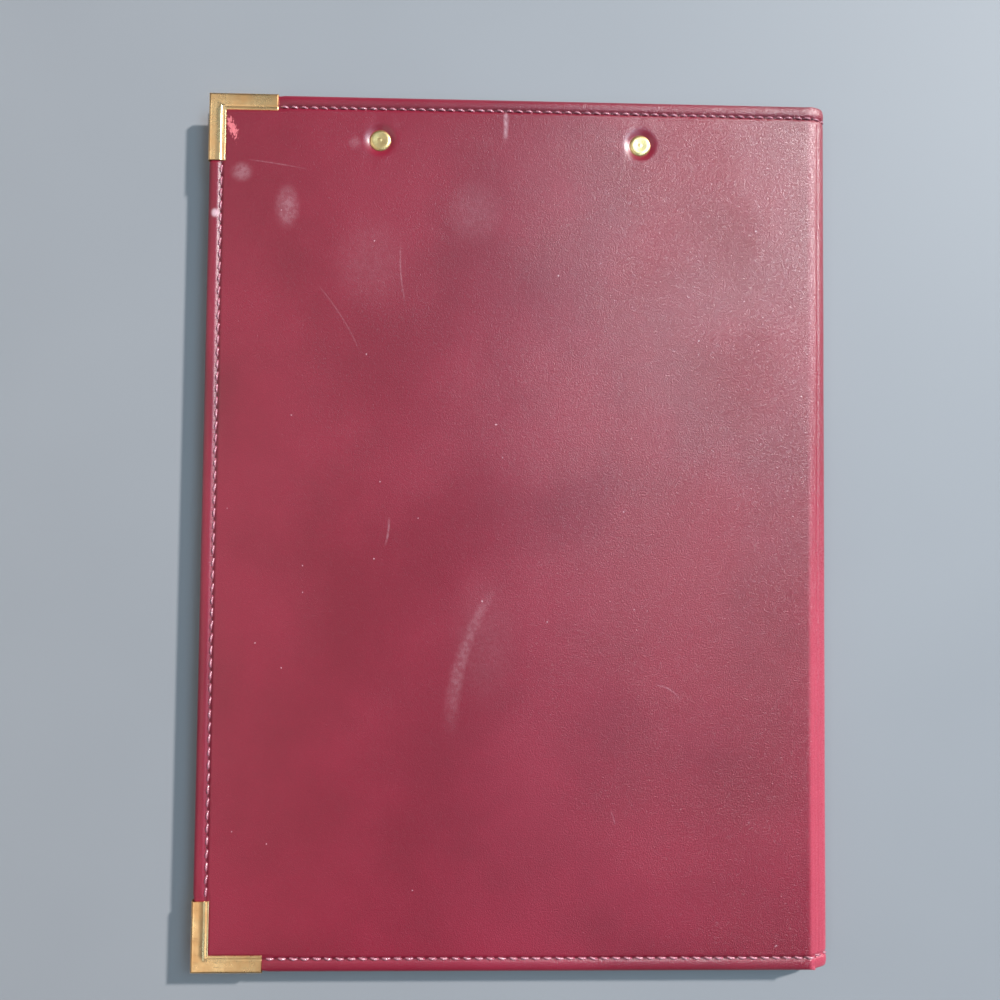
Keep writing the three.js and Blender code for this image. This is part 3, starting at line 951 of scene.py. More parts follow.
@dataclass
class CoverLeather:
    """Leatherette of one cover, turned in over its board, with the hem bead and the sewn groove."""

    layout: Layout
    side: Side
    material: bpy.types.Material
    rivets: tuple[tuple[float, float], ...] = ()
    edge_round: float = 1.7
    bead_height: float = 0.16
    groove_depth: float = 0.6
    pillow_height: float = 0.1
    pillow_reach: float = 5.0
    uneven_height: float = 0.04
    dimple_depth: float = 0.12
    dimple_reach: float = 9.0
    lip_depth: float = 0.87
    lip_start: float = 3.9
    lip_reach: float = 2.9
    pucker_height: float = 0.06
    pucker_radius: float = 8.2
    pucker_half: float = 2.6
    corner_arm: float = 25.3
    corner_width: float = 6.1
    corner_press: float = 0.28
    corner_blur: float = 0.45
    corner_draw: float = 1.2
    corner_ease: float = 4.0
    hem_width: float = 12.0
    hem_step: float = 0.7
    sheet: float = 1.24
    edge_zone: float = 7.0
    fold_zone: float = 5.0
    fine_step: float = 0.3
    coarse_step: float = 2.6
    rivet_zone: float = 13.0
    rivet_lines: int = 53

    def _axis(self, low: float, high: float, stops: Sequence[float], at_high: float) -> Array:
        """Places of grid lines, close at the edges and round the rivets.

        Args:
            low: First line.
            high: Last line.
            stops: Places of the rivets.
            at_high: Length of the close stretch at the high end.

        Returns:
            The places.
        """
        base = spaced(low, high, self.edge_zone, at_high, self.fine_step, self.coarse_step)
        extra = [np.linspace(stop - self.rivet_zone, stop + self.rivet_zone, self.rivet_lines) for stop in stops]
        return np.unique(np.concatenate([base, *extra]).round(4))

    def _rise(self, x: Array, y: Array) -> Array:
        """Height of the outer surface over its flat level.

        Args:
            x: Places across the cover.
            y: Places along the cover.

        Returns:
            The heights.
        """
        lay = self.layout
        edge = np.minimum(x - lay.fore_edges[self.side], lay.half_length - np.abs(y))
        bead = self.bead_height * ridge(edge, lay.bead_inset, lay.bead_half)
        groove = self.groove_depth * ridge(edge, lay.seam_inset, lay.groove_half)
        pillow = self.pillow_height * np.clip((edge - lay.seam_inset) / self.pillow_reach, 0.0, 1.0)
        uneven = self.uneven_height * swell(x * 0.8 + y * 0.35, 11, 95.0) * swell(y - x * 0.2, 23, 130.0)
        rise = bead - groove + pillow + uneven * np.clip(edge / 6.0, 0.0, 1.0)
        sink, reach = lay.fold_sink(y)
        rise = rise - sink * np.clip((x - lay.skin_end + reach) / reach, 0.0, 1.0) ** 2
        rise = rise - lay.shoulder * np.clip((x - lay.skin_end) / lay.shoulder_reach + 1.0, 0.0, 1.0) ** 2
        if self.side is Side.BACK:
            rise = rise + self.bow(x, y)
        for rivet_x, rivet_y in self.rivets:
            away = np.hypot(x - rivet_x, y - rivet_y)
            turn = np.arctan2(y - rivet_y, x - rivet_x)
            pucker = self.pucker_height * np.cos(5 * turn + 0.8) * ridge(away, self.pucker_radius, self.pucker_half)
            lip = self.lip_depth * np.clip(1.0 - (away - self.lip_start) / self.lip_reach, 0.0, 1.0) ** 2
            rise = rise - self.dimple_depth * ridge(away, 0.0, self.dimple_reach) - lip + pucker
        return rise

    def bow(self, x: Array, y: Array) -> Array:
        """Rise of the cover over the clip inside.

        Args:
            x: Places across the cover.
            y: Places along the cover.

        Returns:
            The rise.
        """
        lay = self.layout
        centre = sum(r[0] for r in self.rivets) / max(len(self.rivets), 1)
        near_clip = np.clip((y - lay.half_length + lay.bow_reach) / lay.bow_reach, 0.0, 1.0) ** 1.5
        return lay.bow * ridge(x, centre, lay.bow_half) * near_clip

    def _pressed(self, x: Array, y: Array) -> Array:
        """Where the metal corners press the hem down: 1 under them, 0 away from them.

        Args:
            x: Places across the cover.
            y: Places along the cover.

        Returns:
            The shares.
        """
        lay = self.layout
        from_fore = x - lay.fore_edges[self.side]
        from_hem = lay.half_length - np.abs(y)
        outside = np.maximum(
            np.minimum(from_fore, from_hem) - self.corner_width, np.maximum(from_fore, from_hem) - self.corner_arm
        )
        return np.clip(1.0 - outside / self.corner_blur, 0.0, 1.0)

    def build(self) -> bpy.types.Object:
        """Make the leatherette as one closed body and set it in place of its CAD node.

        Returns:
            The leatherette.
        """
        lay = self.layout
        low = lay.fore_edges[self.side]
        xs = self._axis(low, lay.skin_end, [r[0] for r in self.rivets], self.fold_zone)
        ys = self._axis(-lay.half_length, lay.half_length, [r[1] for r in self.rivets], self.edge_zone)
        ys = ys[np.abs(ys) <= lay.half_length]
        x, y = np.meshgrid(xs, ys, indexing="ij")
        edge = np.minimum(x - low, lay.half_length - np.abs(y))
        press = self._pressed(x, y)
        beyond_board = np.clip((x - lay.board_end) / (lay.skin_end - lay.board_end), 0.0, 1.0)
        half = lay.cover / 2 * (1 - beyond_board) + self.sheet / 2 * beyond_board
        roll = np.clip(1 - edge / self.edge_round, 0.0, 1.0)
        fall = half * (1 - np.sqrt(np.clip(1 - roll**2, 0.0, 1.0)))
        hem = np.clip(edge / self.edge_round, 0.0, 1.0)
        outer_depth = fall - self._rise(x, y) * hem * (1 - press) + self.corner_press * press * (1 - roll)
        window = np.clip((edge - self.hem_width) / self.fine_step, 0.0, 1.0)
        thick = (lay.cover - self.hem_step * window) * (1 - beyond_board) + self.sheet * beyond_board
        sink, _ = lay.fold_sink(y)
        inner_depth = thick - fall - self.corner_press * press * (1 - roll)
        inner_depth = inner_depth + (sink + lay.shoulder) * beyond_board
        inset = self.corner_draw * self.corner_press * press
        x = x + inset * np.clip(1 - (x - low) / self.corner_ease, 0.0, 1.0)
        y = y - np.sign(y) * inset * np.clip(1 - (lay.half_length - np.abs(y)) / self.corner_ease, 0.0, 1.0)
        sign = self.side.value
        face = lay.face(self.side)
        outer = np.stack([x, y, face - sign * outer_depth], -1) * MM
        inner = np.stack([x, y, face - sign * inner_depth], -1) * MM
        piece = shell(f"{self.side.word}_leather", outer, inner, self.material)
        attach(piece, self.side.body)
        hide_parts(f"{self.side.word}_cover_skin")
        return piece


@dataclass
class Spine:
    """Leatherette and lining bent round the spine, each in two halves that meet at its back."""

    layout: Layout
    leather: bpy.types.Material
    lining: bpy.types.Material
    steps: int = 40
    sheet: float = 1.2
    lining_sheet: float = 0.35
    lining_lap: float = 1.8
    lining_gap: float = 0.08
    lining_inset: float = 12.0
    end_round: float = 1.5
    groove_depth: float = 0.5
    bead_height: float = 0.14
    wave_height: float = 0.08
    crease_depth: float = 0.26
    crease_less: float = 0.2
    ridge_height: float = 0.1
    wander: float = 0.02
    bulge: float = 0.2
    edge_zone: float = 7.0
    fine_step: float = 0.3
    coarse_step: float = 3.0

    def outline(self, side: Side, y: Array, t: float) -> tuple[Array, Array, Array, Array]:
        """Outer face of the leatherette from a cover's end to the back of the spine.

        Args:
            side: Cover that the half starts from.
            y: Places along the spine.
            t: Share of the way to the back of the spine.

        Returns:
            X, z and the outward normal's x and z at each place.
        """
        lay = self.layout
        sink, reach = lay.fold_sink(y)
        slope = np.arctan(2.0 * sink / reach + 2.0 * lay.shoulder / lay.shoulder_reach)
        sink = sink + lay.shoulder
        grip = BEZIER_ARC * lay.radius
        start = np.array([np.full_like(y, lay.skin_end), lay.radius - sink])
        first = start + np.array([np.cos(slope), -np.sin(slope)]) * (grip + self.bulge)
        end = np.array([np.full_like(y, lay.apex), np.zeros_like(y)])
        second = end + np.array([np.zeros_like(y), np.full_like(y, grip) * (lay.radius - sink) / lay.radius])
        u = 1.0 - t
        spot = start * u**3 + first * (3 * u * u * t) + second * (3 * u * t * t) + end * t**3
        along = (first - start) * (3 * u * u) + (second - first) * (6 * u * t) + (end - second) * (3 * t * t)
        along = along / np.hypot(along[0], along[1])
        sign = side.value
        return spot[0], lay.middle + sign * spot[1], -along[1], sign * along[0]

    def _inner_outline(self, side: Side, y: Array, t: float) -> tuple[Array, Array, Array, Array]:
        """Face of the lining that lies against the leatherette, from inside a cover to the back of the spine.

        Args:
            side: Cover that the half starts from.
            y: Places along the spine.
            t: Share of the way to the back of the spine.

        Returns:
            X, z and the outward normal's x and z at each place.
        """
        start, depth = 0.1, self.sheet + self.lining_gap
        x, z, nx, nz = self.outline(side, y, max(0.0, (t - start) / (1.0 - start)))
        back = self.lining_lap * max(0.0, 1.0 - t / start)
        return x - nx * depth - back, z - nz * depth, nx, nz

    def _half(self, side: Side, name: str, outline: Callable[[Side, Array, float], tuple[Array, Array, Array, Array]],
              thick: float, hem: bool, material: bpy.types.Material, inset: float) -> bpy.types.Object:
        """Build one half of a bent sheet.

        Args:
            side: Cover that the half starts from.
            name: Name of the piece.
            outline: Function that gives its outer face.
            thick: Thickness of the sheet.
            hem: Whether it is the hemmed and sewn leatherette.
            material: Finish.
            inset: Distance of its ends from the folder's ends.

        Returns:
            The half, shaped round the spine.
        """
        lay = self.layout
        ts = np.linspace(0.0, 1.0, self.steps + 1)
        reach = lay.half_length - inset
        ys = spaced(-reach, reach, self.edge_zone, self.edge_zone, self.fine_step, self.coarse_step)
        outer = np.zeros((len(ts), len(ys), 3))
        inner = np.zeros_like(outer)
        edge = reach - np.abs(ys)
        roll = np.clip(1 - edge / self.end_round, 0.0, 1.0)
        fall = thick / 2 * (1 - np.sqrt(np.clip(1 - roll**2, 0.0, 1.0)))
        for i, t in enumerate(ts):
            x, z, nx, nz = outline(side, ys, float(t))
            dip = self._dip(ys, edge, float(t)) if hem else np.zeros_like(ys)
            out = -fall - dip
            into = fall - thick
            outer[i, :, 0], outer[i, :, 1], outer[i, :, 2] = x + nx * out, ys, z + nz * out
            inner[i, :, 0], inner[i, :, 1], inner[i, :, 2] = x + nx * into, ys, z + nz * into
        piece = shell(name, outer * MM, inner * MM, material)
        self.bend(piece, side)
        return piece

    def bend(self, piece: bpy.types.Object, side: Side) -> None:
        """Bake a piece's transform into its mesh.

        Args:
            piece: The piece, without a parent.
            side: Cover that it starts from.
        """
        lay = self.layout
        low = (lay.fold * MM, 0.0, lay.face(side) * MM)
        if side is Side.FRONT:
            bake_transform(piece)
        else:
            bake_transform(piece)

    def _dip(self, ys: Array, edge: Array, t: float) -> Array:
        """Depth of the seam grooves and of the long creases beside the fold.

        Args:
            ys: Places along the spine.
            edge: Distance of each place from the nearer end.
            t: Share of the way from the cover to the back of the spine.

        Returns:
            The depths.
        """
        lay = self.layout
        groove = self.groove_depth * ridge(edge, lay.seam_inset, lay.groove_half)
        bead = self.bead_height * ridge(edge, lay.bead_inset, lay.bead_half)
        wave = self.wave_height * swell(ys, 41, 160.0) * math.sin(math.pi * t)
        lower = lay.lower(ys)
        along = t - self.wander * swell(ys, 5, 90.0)
        clear = smooth((edge - 4.0) / 5.0)
        crease = (self.crease_depth - self.crease_less * lower) * clear * ridge(along, 0.22, 0.05)
        ridges = self.ridge_height * lower * clear * (ridge(along, 0.08, 0.04) + ridge(along, 0.26, 0.045))
        return (groove - bead + crease - ridges - wave) * np.clip(edge / self.end_round, 0.0, 1.0)

    def build(self) -> list[bpy.types.Object]:
        """Make both halves of the leatherette and of the lining.

        Returns:
            The four pieces.
        """
        pieces = []
        layers = (
            ("leather", "leatherette", "spine_skin", self.outline, self.sheet, True, self.leather, 0.0),
            ("lining", "lining", "spine_lining", self._inner_outline, self.lining_sheet, False, self.lining,
             self.lining_inset),
        )
        for side in Side:
            for word, slot, node, *form in layers:
                piece = self._half(side, f"spine_{word}_{side.word}", *form)
                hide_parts(node)
                pieces.append(piece)
        return pieces


@dataclass
class Seams:
    """Rows of thread stitches in the grooves along the hems."""

    layout: Layout
    material: bpy.types.Material
    # Painted shade: dark finish of the lenses at the needle holes
    holes: bpy.types.Material
    gauge: float = 0.43
    arch: float = 0.8
    sides: int = 7
    stations: int = 8
    top_pitch: float = 3.6
    bottom_pitch: float = 4.1
    fore_pitch: float = 4.5
    spine_pitch: float = 4.0
    corner_reach: float = 26.0
    slant: float = 0.22
    slant_jitter: float = 0.14
    place_jitter: float = 0.12
    lift_range: tuple[float, float] = (-0.06, 0.08)
    stitch_share: float = 0.8
    inner_sink: float = -0.16
    hole_sink: float = 0.3
    wide_hole: float = 0.42
    small_hole: float = 0.28
    cover_sinks: dict[Side, float] = field(default_factory=lambda: {Side.BACK: 0.2, Side.FRONT: 0.32})
    spine_sinks: dict[Side, float] = field(default_factory=lambda: {Side.BACK: 0.22, Side.FRONT: 0.32})
    draw: random.Random = field(default_factory=lambda: random.Random(7))

    def row(self, name: str, path: Callable[[float], PathPoint], length: float, pitch: float,
            sink: float, hole: float = 0.3) -> bpy.types.Object:
        """Lay stitches along a path.

        Args:
            name: Name of the row.
            path: Function of the distance along the seam, in millimetres, that gives place, tangent and normal.
            length: Length of the seam.
            pitch: Distance from stitch to stitch.
            sink: Depth of the stitches' middle line below the face.
            hole: Radius of the needle holes.

        Returns:
            One mesh with all the stitches of the row.
        """
        points: list[Vector] = []
        faces: list[tuple[int, ...]] = []
        count = max(1, int(length / pitch))
        step = length / count
        for n in range(count):
            start = n * step + self.draw.uniform(-self.place_jitter, self.place_jitter)
            slant = self.slant + self.draw.uniform(-self.slant_jitter, self.slant_jitter)
            level = self.draw.uniform(*self.lift_range) - sink
            gap = step * (1.0 - self.stitch_share) / 2
            self._stitch(points, faces, path, start + gap, step * self.stitch_share, slant, level)
        thread_faces = len(faces)
        # Painted shade: a dark lens at each needle hole
        for n in range(count + 1):
            self._needle_hole(points, faces, path(min(n * step, length)), sink, hole)
        piece = new_object(name, np.array([tuple(p) for p in points]), faces, self.material, 80.0, False)
        piece.data.materials.append(self.holes)
        for polygon in piece.data.polygons[thread_faces:]:
            polygon.material_index = 1
        return piece

    def _needle_hole(self, points: list[Vector], faces: list[tuple[int, ...]], spot: PathPoint, sink: float,
                     hole: float) -> None:
        """Add painted shade at the needle hole between two stitches, as a dark flat lens sunk in the groove.

        Args:
            points: Vertices so far.
            faces: Faces so far.
            spot: Place, tangent and normal of the hole.
            sink: Depth of the groove's floor.
            hole: Radius of the hole.
        """
        first = len(points)
        place, along, normal = spot
        side = along.cross(normal)
        for level, reach in ((-0.12, 1.0), (0.02, 0.7)):
            for j in range(self.sides):
                angle = 2 * math.pi * j / self.sides
                swing = along * (math.cos(angle) * 0.8) + side * (math.sin(angle) * 1.05)
                points.append((place + normal * (level - sink - self.hole_sink) + swing * (hole * reach)) * MM)
        for j in range(self.sides):
            k = (j + 1) % self.sides
            faces.append((first + j, first + k, first + self.sides + k, first + self.sides + j))
        faces.append(tuple(range(first + self.sides, first + 2 * self.sides)))
        faces.append(tuple(range(first + self.sides - 1, first - 1, -1)))

    def _stitch(self, points: list[Vector], faces: list[tuple[int, ...]], path: Callable[[float], PathPoint],
                start: float, length: float, slant: float, level: float) -> None:
        """Add one stitch that rises out of its hole and dives into the next.

        Args:
            points: Vertices so far.
            faces: Faces so far.
            path: Function that gives place, tangent and normal.
            start: Distance of the stitch's first end along the seam.
            length: Length of the stitch.
            slant: How far its ends lie to either side of the seam.
            level: Height of its middle over the face.
        """
        first = len(points)
        for i in range(self.stations + 1):
            t = i / self.stations
            place, along, normal = path(start + t * length)
            side = along.cross(normal)
            arch = math.sin(math.pi * t) ** 0.7
            centre = place + normal * (level + self.arch * (arch - 1)) + side * (slant * (t - 0.5) * 2)
            thick = self.gauge * (0.6 + 0.4 * arch)
            for j in range(self.sides):
                angle = 2 * math.pi * j / self.sides
                points.append((centre + (side * math.cos(angle) + normal * math.sin(angle)) * thick) * MM)
        for i in range(self.stations):
            for j in range(self.sides):
                k = (j + 1) % self.sides
                a = first + i * self.sides
                b = a + self.sides
                faces.append((a + j, a + k, b + k, b + j))
        faces.append(tuple(range(first, first + self.sides)))
        last = first + self.stations * self.sides
        faces.append(tuple(range(last + self.sides - 1, last - 1, -1)))

    def straight(self, start: tuple[float, float], end: tuple[float, float], height: Callable[[float, float], float],
                 sign: int) -> tuple[Callable[[float], PathPoint], float]:
        """Path of a straight seam on a flat face.

        Args:
            start: X and Y of its first end.
            end: X and Y of its last end.
            height: Height of the face at a place.
            sign: 1 where the face looks up, -1 where it looks down.

        Returns:
            The path and its length.
        """
        first = Vector((*start, 0.0))
        run = Vector((*end, 0.0)) - first
        length = run.length
        run.normalize()
        normal = Vector((0.0, 0.0, float(sign)))

        def path(distance: float) -> PathPoint:
            """Walk along the seam.

            Args:
                distance: Distance from its first end.

            Returns:
                Place, tangent and normal.
            """
            spot = first + run * distance
            spot.z = height(spot.x, spot.y)
            return spot, run, normal

        return path, length

    def cover(self, leather: CoverLeather) -> list[bpy.types.Object]:
        """Stitch the three hems of a cover, outside and inside.

        Args:
            leather: The cover's leatherette.

        Returns:
            The rows.
        """
        lay = self.layout
        side = leather.side
        low = lay.fore_edges[side] + lay.seam_inset
        top = lay.half_length - lay.seam_inset
        outside = lay.face(side)
        inside = outside - side.value * lay.cover
        arm_x = lay.fore_edges[side] + self.corner_reach
        arm_y = lay.half_length - self.corner_reach
        runs = {
            "top": ((arm_x, top), (lay.skin_end, top), self.top_pitch),
            "bottom": ((arm_x, -top), (lay.skin_end, -top), self.bottom_pitch),
            "fore": ((low, arm_y), (low, -arm_y), self.fore_pitch),
        }
        layers = (
            ("outer", outside, side.value, self.cover_sinks[side]), ("inner", inside, -side.value, self.inner_sink)
        )
        pieces = []
        for word, (start, end, pitch) in runs.items():
            for layer, level, sign, sink in layers:

                def height(x: float, y: float, level: float = level) -> float:
                    """Height of the face at a place."""
                    return level + (float(leather.bow(np.array(x), np.array(y))) if side is Side.BACK else 0.0)

                path, length = self.straight(start, end, height, sign)
                hole = self.wide_hole if word == "top" and layer == "outer" else self.small_hole
                piece = self.row(f"{side.word}_{word}_stitches_{layer}", path, length, pitch, sink, hole)
                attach(piece, side.body)
                pieces.append(piece)
        return pieces

    def spine(self, spine: Spine) -> list[bpy.types.Object]:
        """Carry the top and bottom rows round the spine.

        Args:
            spine: The spine's leatherette.

        Returns:
            The rows.
        """
        lay = self.layout
        pieces = []
        for side in Side:
            for word, end in (("top", 1), ("bottom", -1)):
                y = end * (lay.half_length - lay.seam_inset)
                total = lay.fold - lay.skin_end + lay.radius * math.pi / 2

                def path(distance: float, y: float = y, total: float = total, side: Side = side) -> PathPoint:
                    """Walk round the bend.

                    Args:
                        distance: Distance from the cover's end.
                        y: Place of the seam along the spine.
                        total: Length of the half bend.
                        side: Cover that it starts from.

                    Returns:
                        Place, tangent and normal.
                    """
                    share = min(max(distance / total, 0.0), 1.0)
                    x, z, nx, nz = (float(v[0]) for v in spine.outline(side, np.array([y]), share))
                    return Vector((x, y, z)), Vector((abs(nz), 0.0, -nx * side.value)), Vector((nx, 0.0, nz))

                name = f"spine_{word}_stitches_{side.word}"
                piece = self.row(name, path, total, self.spine_pitch, self.spine_sinks[side])
                spine.bend(piece, side)
                pieces.append(piece)
        return pieces


@dataclass
class MetalCorner:
    """Pressed L-shaped corner that clamps two hems of a cover."""

    side: Side
    end: int
    material: bpy.types.Material
    width: float = 6.4
    wall: float = 0.4
    border: float = 1.6
    border_drop: float = 0.3
    lip_drop: float = 0.46
    edge_round: float = 1.0

    @property
    def node(self) -> str:
        """Name of the CAD node that it stands for."""
        return f"{self.side.word}_corner_{'top' if self.end > 0 else 'bottom'}"

    def _section(self, height: float) -> list[tuple[float, float]]:
        """Outer section across an arm, from its top lip round the edge to its bottom lip.

        Args:
            height: Height of the corner.

        Returns:
            Distance in from the wall and height below the top, point by point.
        """
        width = self.width
        step = width - self.border
        top = [
            (width, -self.lip_drop), (width - 0.1, -self.lip_drop + 0.14), (width - 0.3, -self.border_drop + 0.07),
            (width - 0.6, -self.border_drop + 0.09), (step + 0.45, -self.border_drop + 0.02),
            (step + 0.25, -self.border_drop), (step + 0.1, -self.border_drop + 0.06), (step - 0.15, -0.04),
            (step - 0.3, 0.0), (2.6, 0.0), (1.4, 0.0),
        ]
        for i in range(9):
            angle = math.pi / 2 * i / 8
            top.append((self.edge_round * (1 - math.sin(angle)), -self.edge_round * (1 - math.cos(angle))))
        bottom = [(a, -height - h) for a, h in reversed(top)]
        return top + bottom

    def _row(self, section: Sequence[tuple[float, float]], arm: str, reach: float, shrink: float,
             squeeze: float) -> list[tuple[float, float, float]]:
        """One section set in its place along an arm or in the mitre.

        Args:
            section: The section's points.
            arm: Arm along x, along y, or the mitre between them.
            reach: Distance from the corner's outer walls.
            shrink: Wall thickness taken off, 0 for the outer surface.
            squeeze: Share of the height that is kept.

        Returns:
            The points in millimetres.
        """
        low, high = (np.array(v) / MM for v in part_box(self.node))
        y0 = high[1] if self.end > 0 else low[1]
        centre = (low[2] + high[2]) / 2
        height = high[2] - low[2]
        row = []
        for a, h in section:
            up = (h + height / 2) * squeeze
            depth = max(a, shrink) if a < self.width / 2 else a
            limit = max(height / 2 - shrink - (self.border_drop if a > self.width - self.border - 0.15 else 0.0), 0.0)
            up = max(-limit, min(limit, up)) if shrink else up
            x = low[0] + (reach if arm == "x" else depth)
            y = y0 - self.end * (reach if arm == "y" else depth)
            row.append((x, y, centre + up))
        return row

    def build(self) -> bpy.types.Object:
        """Sweep the section along both arms with a mitre between them.

        Returns:
            The corner, set in place of its CAD node.
        """
        low, high = (np.array(v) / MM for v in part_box(self.node))
        length = high[0] - low[0]
        section = self._section(high[2] - low[2])
        ends = [(length, 0.93), (length - 0.12, 1.0), (length - 6.0, 1.0), (self.width + 0.01, 1.0)]
        runs = [("x", reach, keep) for reach, keep in ends] + [("mitre", 0.0, 1.0)]
        runs += [("y", reach, keep) for reach, keep in reversed(ends)]
        outer = np.array([self._row(section, arm, reach, 0.0, keep) for arm, reach, keep in runs])
        inner = np.array([self._row(section, arm, reach, self.wall, keep) for arm, reach, keep in runs])
        piece = shell(self.node + "_plate", outer * MM, inner * MM, self.material)
        piece.data.set_sharp_from_angle(angle=math.radians(28))
        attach(piece, self.side.body)
        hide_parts(self.node)
        return piece


@dataclass
class Rivet:
    """Brass rivet: rim, dish, ring and pip on the outside, rolled end on the clip plate."""

    node: str
    material: bpy.types.Material
    rise: float = 0.0
    seat: float = 0.8

    def build(self) -> bpy.types.Object:
        """Turn the rivet and set it in place of its CAD node.

        Returns:
            The rivet.
        """
        low, high = (np.array(v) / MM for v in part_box(self.node))
        radius = (high[0] - low[0]) / 2
        top = high[2] - low[2]
        lift = self.rise - self.seat
        head = [
            (0.0, top - 0.05), (0.3, top - 0.055), (0.55, top - 0.11), (0.75, top - 0.14), (1.1, top - 0.14),
            (1.4, top - 0.1), (1.6, top - 0.085), (2.0, top - 0.05), (2.4, top - 0.015), (2.7, top),
            (3.0, top - 0.03), (3.3, top - 0.1), (3.6, top - 0.24), (3.8, top - 0.4), (3.97, top - 0.58),
            (radius, top - 0.72), (radius, top - 0.85), (radius - 0.15, top - 0.95),
        ]
        head = [(r, h + lift) for r, h in head]
        tail = [
            (1.6, top - 0.95 + lift), (1.6, 0.72), (2.4, 0.7), (2.68, 0.5), (2.66, 0.25), (2.3, 0.04), (1.8, 0.0),
            (1.3, 0.1), (0.9, 0.36), (0.0, 0.4),
        ]
        centre = Vector(((low[0] + high[0]) / 2, (low[1] + high[1]) / 2, low[2])) * MM
        piece = lathe(self.node + "_turned", head + tail, centre, self.material)
        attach(piece, "back_cover")
        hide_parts(self.node)
        return piece


@dataclass
class Clip:
    """The clip's plate, pin and jaw, and its springs."""

    material: bpy.types.Material
    rigid: tuple[str, ...] = ("clip_plate", "clip_pin", "clip_jaw")
    springs: tuple[str, ...] = ("clip_spring_left", "clip_spring_right")
    wire: float = 0.6

    def _spring(self, node: str) -> bpy.types.Object:
        """Make a spring from a copy of its CAD node's mesh, with the clip's finish.

        Args:
            node: Name of the CAD node that it stands for.

        Returns:
            The spring.
        """
        source = bpy.data.objects[node]
        mesh = source.data.copy()
        mesh.transform(source.matrix_world)
        piece = bpy.data.objects.new(node + "_coil", mesh)
        bpy.context.scene.collection.objects.link(piece)
        points = np.array([tuple(vertex.co) for vertex in mesh.vertices])
        across = points[:, 0]
        low, high = across.min() + self.wire * MM, across.max() - self.wire * MM
        first, last = points[across < low, 2], points[across > high, 2]
        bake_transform(piece)
        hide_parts(node)
        for slot in piece.material_slots:
            slot.material = self.material
        return piece

    def build(self) -> list[bpy.types.Object]:
        """Finish the rigid pieces and make the springs.

        Returns:
            The clip's pieces.
        """
        rigid = [dress_node(node, self.material) for node in self.rigid]
        return rigid + [self._spring(node) for node in self.springs]


@dataclass(frozen=True)
class Lamp:
    """One soft light that looks at the folder: way to it, distance and size in metres, power in watts."""

    name: str
    direction: tuple[float, float, float]
    distance: float
    size: tuple[float, float]
    power: float
    colour: Colour

    def hang(self) -> bpy.types.Object:
        """Put the light into the scene.

        Returns:
            The light.
        """
        data = bpy.data.lights.new(self.name, "AREA")
        data.shape = "RECTANGLE"
        data.size, data.size_y = self.size
        data.energy = self.power
        data.color = self.colour
        lamp = bpy.data.objects.new(self.name, data)
        bpy.context.scene.collection.objects.link(lamp)
        way = Vector(self.direction).normalized()
        lamp.location = way * self.distance
        lamp.rotation_euler = way.to_track_quat("Z", "Y").to_euler()
        return lamp


@dataclass
class Studio:
    """Pale table, soft light and the camera of the photograph."""

    eye: tuple[float, float, float] = (-11.98, 1.36, 286.31)
    look: tuple[float, float, float] = (0.02149, 0.03193, -0.99926)
    up: tuple[float, float, float] = (-0.01042, 0.99944, 0.03171)
    focal_pixels: float = 752.0
    frame_pixels: float = 1000.0
    sensor: float = 36.0
    table_reach: float = 3.0
    air_colour: Colour = (0.93, 0.96, 1.0)
    air_strength: float = 0.11
    lamps: tuple[Lamp, ...] = (
        Lamp("key", (0.655, 0.514, 0.56), 6.0, (0.3, 0.3), 580.0, (1.0, 0.965, 0.94)),
        Lamp("haze", (0.454, 0.381, 0.805), 1.37, (0.6, 0.3), 7.2, (0.5, 0.8, 1.0)),
        Lamp("strip", (0.419, -0.201, 0.886), 1.24, (1.3, 0.5), 4.4, (0.54, 0.8, 1.0)),
        Lamp("veil", (0.13, 0.38, 0.915), 1.31, (1.0, 0.5), 1.2, (0.5, 0.8, 1.0)),
        Lamp("sky", (-0.54, -0.03, 0.84), 1.62, (2.4, 0.6), 6.4, (1.0, 0.95, 0.88)),
        Lamp("rim", (-0.86, 0.1, 0.3), 2.2, (0.8, 1.2), 4.0, (1.0, 0.98, 0.95)),
    )

    def camera(self) -> bpy.types.Object:
        """Set the camera up.

        Returns:
            The camera.
        """
        data = bpy.data.cameras.new("camera")
        data.sensor_width = self.sensor
        data.lens = self.sensor * self.focal_pixels / self.frame_pixels
        data.clip_start = 0.01
        camera = bpy.data.objects.new("camera", data)
        bpy.context.scene.collection.objects.link(camera)
        back = -Vector(self.look).normalized()
        right = Vector(self.up).cross(back).normalized()
        turn = Matrix((right, back.cross(right), back)).transposed().to_4x4()
        camera.matrix_world = Matrix.Translation(Vector(self.eye) * MM) @ turn
        bpy.context.scene.camera = camera
        return camera

    def build(self) -> None:
        """Set up table, lights and camera."""
        reach = self.table_reach
        points = np.array([(-reach, -reach, 0.0), (reach, -reach, 0.0), (reach, reach, 0.0), (-reach, reach, 0.0)])
        table = new_object("table", points, [(0, 1, 2, 3)], PaleTable().build())
        world = bpy.data.worlds.new("studio")
        world.use_nodes = True
        air = next(n for n in world.node_tree.nodes if n.type == "BACKGROUND")
        air.inputs[0].default_value = (*self.air_colour, 1.0)
        air.inputs[1].default_value = self.air_strength
        bpy.context.scene.world = world
        bpy.context.scene.view_settings.view_transform = "Standard"
        for lamp in self.lamps:
            lamp.hang()
        self.camera()


def dress_node(node: str, material: bpy.types.Material) -> bpy.types.Object:
    """Give a CAD node's object a material in every slot.

    Args:
        node: Name of the node.
        material: Its finish.

    Returns:
        The node's object.
    """
    piece = bpy.data.objects[node]
    if not piece.material_slots:
        piece.data.materials.append(material)
    for slot in piece.material_slots:
        slot.material = material
    return piece


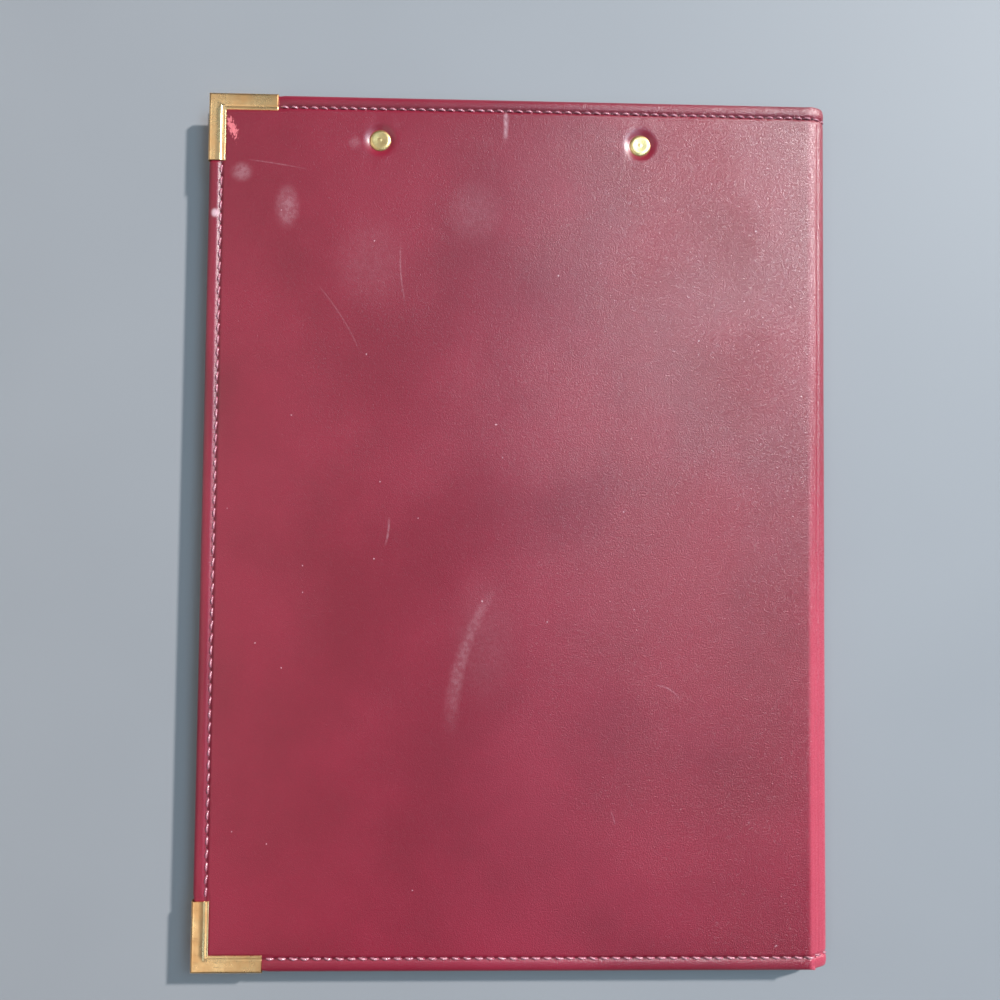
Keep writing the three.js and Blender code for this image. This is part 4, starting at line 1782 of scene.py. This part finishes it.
SMUDGES = (
    Smudge(29.4, 42.2, 5.6, 10.0, 0.22),
    Smudge(12.4, 29.5, 5.0, 4.6, 0.22),
    Smudge(98.4, 42.8, 13.0, 15.0, 0.08),
    Smudge(2.9, 45.0, 1.9, 2.2, 0.95),
    Smudge(60.0, 62.0, 17.0, 22.0, 0.05),
    Smudge(104.0, 200.0, 16.0, 30.0, 0.05),
    Smudge(54.0, 18.0, 3.4, 3.4, 0.12),
)

SCRATCHES = (
    Scratch((109.6, 4.0), (109.6, 17.5), 0.2, 1.3, 0.5),
    Scratch((13.5, 24.8), (39.0, 28.6), 0.3, 0.35, 0.2),
    Scratch((71.5, 53.0), (74.0, 80.0), -1.2, 0.45, 0.25),
    Scratch((40.0, 70.0), (58.0, 98.0), 1.4, 0.4, 0.16),
    Scratch((68.4, 156.0), (66.8, 168.0), 0.6, 0.6, 0.25),
    Scratch((109.5, 178.0), (91.5, 240.0), -5.0, 4.0, 0.16),
    Scratch((166.0, 217.0), (176.0, 223.0), 1.6, 0.4, 0.4),
    Scratch((150.0, 262.0), (152.0, 268.0), 0.3, 0.4, 0.35),
)


def main() -> None:
    """Build the folder's pieces in order and report each one."""
    logging.basicConfig(level=logging.INFO, format="%(message)s")
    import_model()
    layout = Layout.from_frame()
    plates = [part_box(name) for name in ("rivet_left", "rivet_right")]
    rivets = tuple(((lo[0] + hi[0]) / 2 / MM, (lo[1] + hi[1]) / 2 / MM) for lo, hi in plates)
    hem = layout.half_length
    leathers = {
        Side.BACK: Leatherette("leatherette_back", hem, layout.fore_edges[Side.BACK], rivets=rivets,
                               smudges=SMUDGES, scratches=SCRATCHES).build(),
        Side.FRONT: Leatherette("leatherette_front", hem, layout.fore_edges[Side.FRONT]).build(),
    }
    lining = Lining().build()
    brass = Metal("corner_brass", (1.0, 0.7, 0.36), (0.94, 0.54, 0.24), 0.22, (0.3, 0.3, 1.0)).build()
    gilt = Metal("rivet_brass", (0.95, 0.72, 0.33), (0.66, 0.45, 0.2), 0.33).build()
    steel = Metal("clip_steel", (0.78, 0.79, 0.8), (0.73, 0.74, 0.75), 0.2, (0.1, 2.0, 1.0)).build()

    spine = Spine(layout, Leatherette("leatherette_spine", hem).build(), lining)
    seams = Seams(layout, Thread().build(), NeedleHole().build())
    made: list[bpy.types.Object] = []
    for side, leather in leathers.items():
        cover = CoverLeather(layout, side, leather, rivets if side is Side.BACK else ())
        made.append(cover.build())
        made += seams.cover(cover)
        if side is Side.BACK:
            for node, (x, y) in zip(("rivet_left", "rivet_right"), rivets):
                made.append(Rivet(node, gilt, float(cover.bow(np.array(x), np.array(y)))).build())
        for end in (1, -1):
            made.append(MetalCorner(side, end, brass).build())
    made += spine.build()
    made += seams.spine(spine)
    made += Clip(steel).build()
    board = Greyboard().build()
    made += [dress_node(node, board) for node in ("front_board", "back_board")]
    made += [dress_node(node, lining) for node in ("front_lining", "back_lining", "front_pocket")]
    for piece in made:
        log.info("%s: %d faces", piece.name, len(piece.data.polygons))
    Studio().build()


if __name__ == "__main__":
    main()
